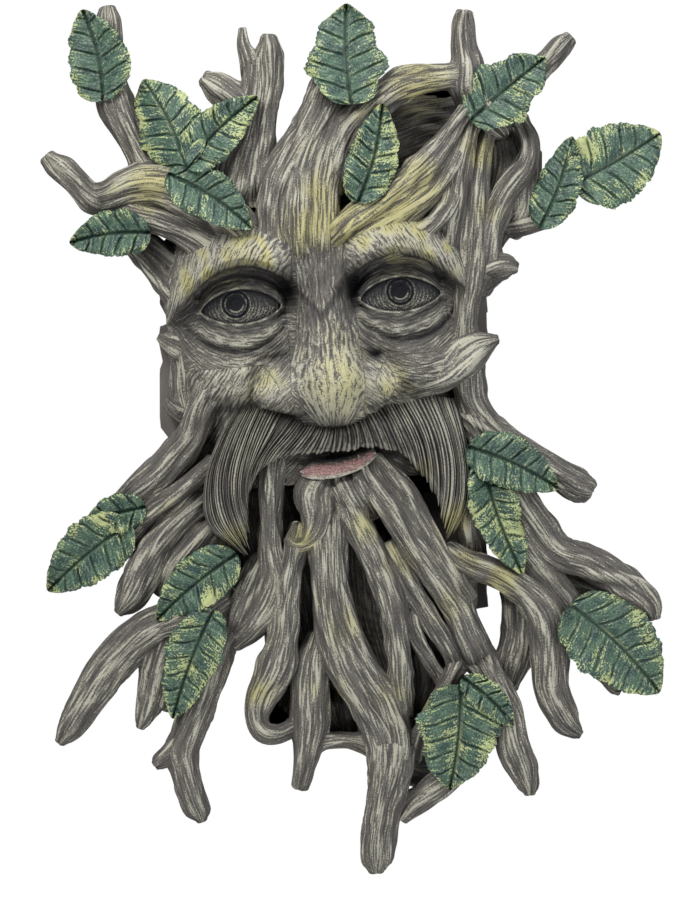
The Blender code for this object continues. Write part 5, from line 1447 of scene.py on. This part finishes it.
def painted_wood(name, look, along, across, ridges):
    """Carved casting: brushed cream over grey-brown, dark wash and painted shade in grooves, hollows and on
    shaded sides.
    """
    material, tree, shader = new_material(name)
    grain = node(tree, "ShaderNodeUVMap", -1500, 300, uv_map="grain")
    ridge, hollow, front, line = attribute_parts(tree, "relief", 0)
    yellow, pink, dark, pale = attribute_parts(tree, "paint", -300)
    fibres = place_group(tree, SHARED["fibres"], -1200, 300, Vector=grain.outputs[0], Along=along,
                         Across=across).outputs
    fine = step(tree, fibres["Height"], 0.30, 0.70)
    speckle = step(tree, fibres["Pits"], 0.36, 0.66)
    height = plus(tree, times(tree, ridge, ridges), times(tree, fine, 0.82 - ridges))
    height = plus(tree, height, times(tree, speckle, 0.18))
    place = node(tree, "ShaderNodeTexCoord", -1400, 600)
    cloud = step(tree, noise(tree, -1200, 600, place.outputs["Object"], Scale=42.0, Detail=2.0), 0.36, 0.66)
    body = blend(tree, step(tree, fibres["Broken"], 0.30, 0.70), look.wood_colour, look.warm_colour)
    chroma = step(tree, plus(tree, yellow, times(tree, cloud, 0.30)), 0.22, 0.80)
    paint = blend(tree, chroma, look.cream_colour, look.yellow_colour)
    load = plus(tree, times(tree, pale, 0.46), times(tree, yellow, 0.34))
    for share, amount in ((cloud, 0.24), (front, 0.56)):
        load = plus(tree, load, times(tree, maths(tree, "SUBTRACT", share, 0.5), amount))
    load = plus(tree, load, look.brush_load, clamp=True)
    # Where dark wash and painted shade lie: hollows, shaded sides and backs, and the painted dark
    wash_and_shade = maths(tree, "MAXIMUM", hollow, dark, clamp=True)
    film = times(tree, load, step(tree, fibres["Broken"], 0.25, 0.60))
    colour = blend(tree, times(tree, film, 0.42), body, paint)
    brush = place_group(tree, SHARED["drybrush"], -500, 200, Height=height, Broken=fibres["Broken"],
                        Load=load, Sheltered=wash_and_shade)
    colour = blend(tree, times(tree, brush.outputs["Mask"], 0.70), colour, paint)
    # Dark wash and painted shade in the fine grooves
    groove = step(tree, height, 0.44, 0.20)
    colour = blend(tree, times(tree, groove, 0.62), colour, look.groove_colour)
    blush = blend(tree, step(tree, fibres["Pits"], 0.35, 0.70), look.lip_colour,
                  tuple(min(1.0, 1.9 * c) for c in look.lip_colour))
    colour = blend(tree, pink, colour, blush)
    # Near-black dark wash and painted shade
    colour = blend(tree, wash_and_shade, colour, look.wash_and_shade_colour)
    colour = blend(tree, times(tree, line, step(tree, speckle, 0.0, 0.5)), colour, look.cream_colour)
    rough = plus(tree, 0.62, times(tree, fibres["Broken"], 0.28))
    wire(tree, (rough, shader.inputs["Roughness"]))
    shader.inputs["Specular IOR Level"].default_value = 0.20
    finish_shader(tree, shader, colour, plus(tree, fine, times(tree, fibres["Pits"], 0.35)), 0.85, 0.00040)
    return material


def painted_leaf(look):
    """Painted leaf: deep green, dark veins, yellow-green brushed over the puffed fields, painted shade on its
    back.
    """
    material, tree, shader = new_material("painted_leaf")
    grain = node(tree, "ShaderNodeUVMap", -1500, 300, uv_map="grain")
    vein, hollow, puff, rim = attribute_parts(tree, "relief", 0)
    yellow, tone = attribute_parts(tree, "paint", -300)[:2]
    fibres = place_group(tree, SHARED["fibres"], -1200, 300, Vector=grain.outputs[0], Along=95.0,
                         Across=28.0).outputs
    fine = step(tree, fibres["Height"], 0.30, 0.70)
    depth = step(tree, plus(tree, fibres["Broken"], times(tree, tone, 0.5)), 0.45, 0.95)
    body = blend(tree, depth, look.deep_colour, look.green_colour)
    speckle = step(tree, fibres["Pits"], 0.36, 0.66)
    height = plus(tree, times(tree, puff, 0.36), times(tree, fine, 0.30))
    height = plus(tree, height, times(tree, speckle, 0.34))
    brush = place_group(tree, SHARED["drybrush"], -500, 200, Height=height, Broken=fibres["Broken"],
                        Load=plus(tree, yellow, times(tree, rim, 0.50)), Sheltered=vein)
    film = times(tree, step(tree, height, 0.34, 0.66), 0.34)
    colour = blend(tree, film, body, look.mint_colour)
    colour = blend(tree, times(tree, brush.outputs["Mask"], 0.85), colour, look.brush_colour)
    # Dark veins, and painted shade where the hollow share is set, on the leaves' backs
    for share, amount in ((vein, 0.85), (hollow, 0.8)):
        colour = blend(tree, times(tree, share, amount), colour, look.vein_and_shade_colour)
    shader.inputs["Roughness"].default_value = 0.55
    shader.inputs["Specular IOR Level"].default_value = 0.40
    finish_shader(tree, shader, colour, plus(tree, fine, times(tree, fibres["Pits"], 0.3)), 0.6, 0.00030)
    return material


def bare_back(look):
    """Unpainted flat back: one plain brown with faint mottling."""
    material, tree, shader = new_material("bare_back")
    place = node(tree, "ShaderNodeTexCoord", -900, 0)
    mottle = noise(tree, -700, 0, place.outputs["Object"], Scale=60.0, Detail=5.0)
    colour = blend(tree, step(tree, mottle, 0.35, 0.70), look.wood_colour, look.warm_colour)
    shader.inputs["Roughness"].default_value = 0.8
    finish_shader(tree, shader, colour, mottle, 0.3, 0.0003)
    return material


def shared_parts():
    """Build what the pieces share once: node groups, the map of heights and the materials."""
    if "fibres" in SHARED:
        return
    scene = bpy.context.scene
    top = relief_map()
    SHARED["stations"] = limb_stations()
    SHARED["top"] = (blurred(blurred(top, 2), 2), blurred(blurred(top, 5), 5))
    SHARED["fibres"] = fibre_group()
    SHARED["drybrush"] = drybrush_group()
    SHARED["wood"] = painted_wood("painted_wood", scene.tree_face_wood, 8.5, 170.0, 0.26)
    SHARED["skin"] = painted_wood("painted_skin", scene.tree_face_wood, 24.0, 150.0, 0.34)
    SHARED["hair"] = painted_wood("painted_hair", scene.tree_face_wood, 12.0, 130.0, 0.58)
    SHARED["leaf"] = painted_leaf(scene.tree_face_leaf)
    SHARED["back"] = bare_back(scene.tree_face_wood)


SHARED = {}


def colour_property(name, description, default):
    """A colour that the user may change."""
    return bpy.props.FloatVectorProperty(name=name, description=description, default=default,
                                         subtype="COLOR", min=0.0, max=1.0)


class TreeFaceWood(bpy.types.PropertyGroup):
    """Carving depth and paint of the wood, face and hair."""

    carve: bpy.props.FloatProperty(name="Carving", description="Depth of the carved fibres",
                                   default=0.00042, min=0.0, max=0.002, unit="LENGTH")
    brush_load: bpy.props.FloatProperty(name="Brush load", description="How much pale paint the crests catch",
                                        default=0.36, min=0.0, max=1.0, subtype="FACTOR")
    wood_colour: colour_property("Wood", "Grey-brown of the wood", (0.122, 0.114, 0.107))
    warm_colour: colour_property("Warm wood", "Browner patches of the wood", (0.100, 0.088, 0.080))
    # Grooves: dark wash and painted shade in the fine grooves
    groove_colour: colour_property("Grooves", "Dark wash in the grooves", (0.024, 0.025, 0.029))
    # Hollows: near-black dark wash and painted shade in the hollows, under overhangs, on shaded sides and
    # backs
    wash_and_shade_colour: colour_property("Hollows", "Near-black wash in the hollows", (0.013, 0.014, 0.019))
    cream_colour: colour_property("Cream", "Cream brushed on the crests", (0.485, 0.475, 0.390))
    yellow_colour: colour_property("Yellow", "Yellow brushed on the crests", (0.50, 0.47, 0.23))
    lip_colour: colour_property("Lip", "Dusty pink of the lip", (0.27, 0.15, 0.145))


class TreeFaceLeaf(bpy.types.PropertyGroup):
    """Paint of the leaves."""

    green_colour: colour_property("Green", "Leaf green", (0.040, 0.090, 0.056))
    deep_colour: colour_property("Deep green", "Blue-green in the deep", (0.015, 0.044, 0.038))
    brush_colour: colour_property("Brush", "Yellow-green brushed on", (0.43, 0.47, 0.21))
    mint_colour: colour_property("Mint", "Pale worn green", (0.30, 0.38, 0.29))
    # Also the colour of the painted shade on the leaves' backs
    vein_and_shade_colour: colour_property("Veins", "Dark green in the veins", (0.006, 0.026, 0.018))


class TreeFaceStage(bpy.types.PropertyGroup):
    """Camera, floor and light."""

    distance: bpy.props.FloatProperty(name="Camera distance", description="From the wall plane to the camera",
                                      default=EYE_DISTANCE, min=0.3, max=5.0, unit="LENGTH")
    floor_colour: colour_property("Floor", "Pale floor", (0.86, 0.86, 0.85))


def limb_piece(name, region, seed, dark):
    """One piece from a group of limbs."""
    skin = Skin()
    carve = bpy.context.scene.tree_face_wood.carve / UNIT
    for number, (label, limb) in enumerate(region.items()):
        limb_skin(skin, label, limb, seed + LIMB_SEED_STEP * number, carve, dark)
    new_piece(name, skin.mesh(name), SHARED["wood"])


def skin_piece(name, material, build, *values):
    """One piece from a function that fills a skin."""
    skin = Skin()
    build(skin, *values)
    new_piece(name, skin.mesh(name), SHARED[material])


class TREEFACE_OT_wood(bpy.types.Operator):
    """Build the branches, roots and beard as fluted limbs"""

    bl_idname = "tree_face.wood"
    bl_label = "Wood"

    def execute(self, context):
        shared_parts()
        for name, (region, seed, dark) in WOOD_PIECES.items():
            limb_piece(name, region, seed, dark)
        return {"FINISHED"}


class TREEFACE_OT_face(bpy.types.Operator):
    """Build the face with its lids, brow, nose and cheeks, its eyes and its lower lip"""

    bl_idname = "tree_face.face"
    bl_label = "Face"

    def execute(self, context):
        shared_parts()
        skin_piece("face", "skin", face_skin, context.scene.tree_face_wood.carve / UNIT)
        for name, middle in EYES.items():
            skin_piece(name, "skin", eye_skin, middle)
        skin_piece("lower_lip", "skin", lip_skin)
        return {"FINISHED"}


class TREEFACE_OT_moustache(bpy.types.Operator):
    """Build the moustache from its net of hairs"""

    bl_idname = "tree_face.moustache"
    bl_label = "Moustache"

    def execute(self, context):
        shared_parts()
        skin_piece("moustache", "hair", moustache_skin, context.scene.tree_face_wood.carve / UNIT)
        return {"FINISHED"}


class TREEFACE_OT_leaves(bpy.types.Operator):
    """Build the leaves with their teeth and veins"""

    bl_idname = "tree_face.leaves"
    bl_label = "Leaves"

    def execute(self, context):
        shared_parts()
        for number, (name, leaf) in enumerate(LEAVES.items()):
            skin_piece(name, "leaf", leaf_skin, leaf, LEAF_SEED + LEAF_SEED_STEP * number)
        return {"FINISHED"}


def finished_mesh(piece):
    """The piece's mesh with its modifiers applied; the piece itself goes."""
    graph = bpy.context.evaluated_depsgraph_get()
    mesh = bpy.data.meshes.new_from_object(piece.evaluated_get(graph))
    bpy.data.objects.remove(piece)
    return mesh


def freed(made, name):
    """Turn a bmesh into an object in the scene, and free it."""
    mesh = bpy.data.meshes.new(name)
    made.to_mesh(mesh)
    made.free()
    return linked(name, mesh)


def block(name, low, high):
    """A box between two corners."""
    made = bmesh.new()
    middle, size = (Vector(low) + Vector(high)) / 2, Vector(high) - Vector(low)
    matrix = Matrix.Translation(middle) @ Matrix.Diagonal((*size, 1.0))
    bmesh.ops.create_cube(made, size=1.0, matrix=matrix)
    return freed(made, name)


def key_shape():
    """The keyhole pocket's space: round entry, slot above it and room for the head behind."""
    made = bmesh.new()
    sideways = Matrix.Rotation(math.radians(90.0), 4, "X")
    chamber = KEYHOLE_DEPTH - KEYHOLE_LIP
    middle, low, high = -KEYHOLE_LIP - chamber / 2, KEYHOLE_ABOVE, KEYHOLE_ABOVE + KEYHOLE_TRAVEL
    deep = KEYHOLE_DEPTH + KEYHOLE_LIP
    entry_y = -KEYHOLE_DEPTH + deep / 2
    rounds = ((KEYHOLE_HEAD / 2, deep, entry_y, low), (KEYHOLE_SLOT / 2, deep, entry_y, high),
              (KEYHOLE_HEAD / 2, chamber, middle, high))
    for radius, depth, y, z in rounds:
        bmesh.ops.create_cone(made, cap_ends=True, segments=48, radius1=radius, radius2=radius,
                              depth=depth, matrix=Matrix.Translation((0.0, y, z)) @ sideways)
    for wide, depth, y in ((KEYHOLE_SLOT, deep, entry_y), (KEYHOLE_HEAD, chamber, middle)):
        place = Matrix.Translation((0.0, y, (low + high) / 2))
        size = Matrix.Diagonal((wide, depth, KEYHOLE_TRAVEL, 1.0))
        bmesh.ops.create_cube(made, size=1.0, matrix=place @ size)
    return freed(made, "key_shape")


def cut(piece, other, operation):
    """Cut one piece with another and drop the other."""
    change = piece.modifiers.new("cut", "BOOLEAN")
    change.operation = operation
    change.solver = "EXACT"
    change.use_self = True
    change.object = other
    mesh = finished_mesh(piece)
    bpy.data.objects.remove(other)
    return mesh


class TREEFACE_OT_back(bpy.types.Operator):
    """Build the flat back from the solid's outline, a panel over its hollows, and the keyhole pocket"""

    bl_idname = "tree_face.back"
    bl_label = "Back"

    def execute(self, context):
        shared_parts()
        merged = bmesh.new()
        merged.from_mesh(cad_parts[NODE].data)
        bmesh.ops.remove_doubles(merged, verts=merged.verts, dist=1e-6)
        copy = freed(merged, "back_copy")
        slab = block("slab", (-HEIGHT, -PLATE_DEEP, -HEIGHT), (HEIGHT, PLATE_DEEP, HEIGHT))
        plate = cut(copy, slab, "INTERSECT")
        plate.materials.clear()
        new_piece("back_plate", plate, SHARED["back"]).data.shade_flat()
        panel = block("panel", (PANEL_LEFT, -PLATE_DEEP, PANEL_LOW), (PANEL_RIGHT, -PANEL_SUNK, PANEL_HIGH))
        panel = cut(panel, key_shape(), "DIFFERENCE")
        new_piece("back_panel", panel, SHARED["back"]).data.shade_flat()
        reach = KEYHOLE_HEAD / 2 + POCKET_WALL / 2
        low = (-reach, -KEYHOLE_DEPTH - POCKET_WALL / 2, KEYHOLE_ABOVE - reach)
        high = (reach, -PLATE_DEEP * 0.9, KEYHOLE_ABOVE + KEYHOLE_TRAVEL + reach)
        pocket = cut(block("pocket", low, high), key_shape(), "DIFFERENCE")
        new_piece("keyhole_pocket", pocket, SHARED["back"]).data.shade_flat()
        return {"FINISHED"}


def area_light(name, place, size, power, colour):
    """A square area light that looks at the part's middle."""
    lamp = bpy.data.lights.new(name, "AREA")
    lamp.size = size
    lamp.energy = power
    lamp.color = colour
    made = linked(name, lamp)
    made.location = place
    made.rotation_euler = (Vector((0.0, -0.02, 0.0)) - Vector(place)).to_track_quat("-Z", "Y").to_euler()


class TREEFACE_OT_stage(bpy.types.Operator):
    """Set up the camera, the soft light, the pale surround and the floor"""

    bl_idname = "tree_face.stage"
    bl_label = "Stage"

    def execute(self, context):
        scene = context.scene
        look = scene.tree_face_stage
        lens = bpy.data.cameras.new("camera")
        lens.sensor_width = SENSOR
        lens.sensor_fit = "AUTO"
        lens.lens = SENSOR * look.distance / (PICTURE_ROWS * UNIT)
        lens.clip_start = 0.01
        camera = linked("camera", lens)
        camera.location = (0.0, -look.distance, 0.0)
        camera.rotation_euler = (math.radians(90.0), 0.0, 0.0)
        scene.camera = camera
        for name, (place, size, power, colour) in LIGHTS.items():
            area_light(name, place, size, power, colour)
        world = bpy.data.worlds.new("surround")
        world.use_nodes = True
        tree = world.node_tree
        seen = tree.nodes["Background"]
        seen.inputs["Color"].default_value = (1.0, 1.0, 1.0, 1.0)
        seen.inputs["Strength"].default_value = 1.0
        lit = node(tree, "ShaderNodeBackground", 0, -200)
        lit.inputs["Strength"].default_value = 0.42
        lit.inputs["Color"].default_value = (0.97, 0.98, 1.0, 1.0)
        path = node(tree, "ShaderNodeLightPath", -300, 200)
        both = node(tree, "ShaderNodeMixShader", 200, 0)
        wire(tree, (path.outputs["Is Camera Ray"], both.inputs[0]), (lit.outputs[0], both.inputs[1]),
             (seen.outputs[0], both.inputs[2]), (both.outputs[0], tree.nodes["World Output"].inputs[0]))
        scene.world = world
        scene.view_settings.view_transform = "Standard"
        floor = block("floor", (-FLOOR_HALF, -FLOOR_HALF, FLOOR_FOOT), (FLOOR_HALF, FLOOR_HALF, FLOOR_TOP))
        material, _, shader = new_material("pale_floor")
        shader.inputs["Base Color"].default_value = (*look.floor_colour, 1.0)
        shader.inputs["Roughness"].default_value = 0.9
        floor.data.materials.append(material)
        return {"FINISHED"}


class TREEFACE_PT_panel(bpy.types.Panel):
    """Sizes, colours and build steps of the tree face"""

    bl_idname = "TREEFACE_PT_panel"
    bl_label = "Tree face"
    bl_space_type = "VIEW_3D"
    bl_region_type = "UI"
    bl_category = "Tree Face"

    def draw(self, context):
        scene = context.scene
        for group in (scene.tree_face_wood, scene.tree_face_leaf, scene.tree_face_stage):
            box = self.layout.box()
            for name in group.__annotations__:
                box.prop(group, name)
        for step_class in STEPS:
            self.layout.operator(step_class.bl_idname)


STEPS = (TREEFACE_OT_wood, TREEFACE_OT_face, TREEFACE_OT_moustache, TREEFACE_OT_leaves, TREEFACE_OT_back,
         TREEFACE_OT_stage)
GROUPS = {"tree_face_wood": TreeFaceWood, "tree_face_leaf": TreeFaceLeaf, "tree_face_stage": TreeFaceStage}


def register():
    """Add the classes to Blender and the settings to the scene."""
    for made in (*GROUPS.values(), *STEPS, TREEFACE_PT_panel):
        bpy.utils.register_class(made)
    for name, group in GROUPS.items():
        setattr(bpy.types.Scene, name, bpy.props.PointerProperty(type=group))


def unregister():
    """Take the settings and the classes away again."""
    for name in GROUPS:
        delattr(bpy.types.Scene, name)
    for made in reversed((*GROUPS.values(), *STEPS, TREEFACE_PT_panel)):
        bpy.utils.unregister_class(made)


def main():
    """Build every piece and the stage."""
    register()
    bpy.ops.tree_face.wood()
    bpy.ops.tree_face.face()
    bpy.ops.tree_face.moustache()
    bpy.ops.tree_face.leaves()
    bpy.ops.tree_face.back()
    bpy.ops.tree_face.stage()
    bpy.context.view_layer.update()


if __name__ == "__main__":
    main()
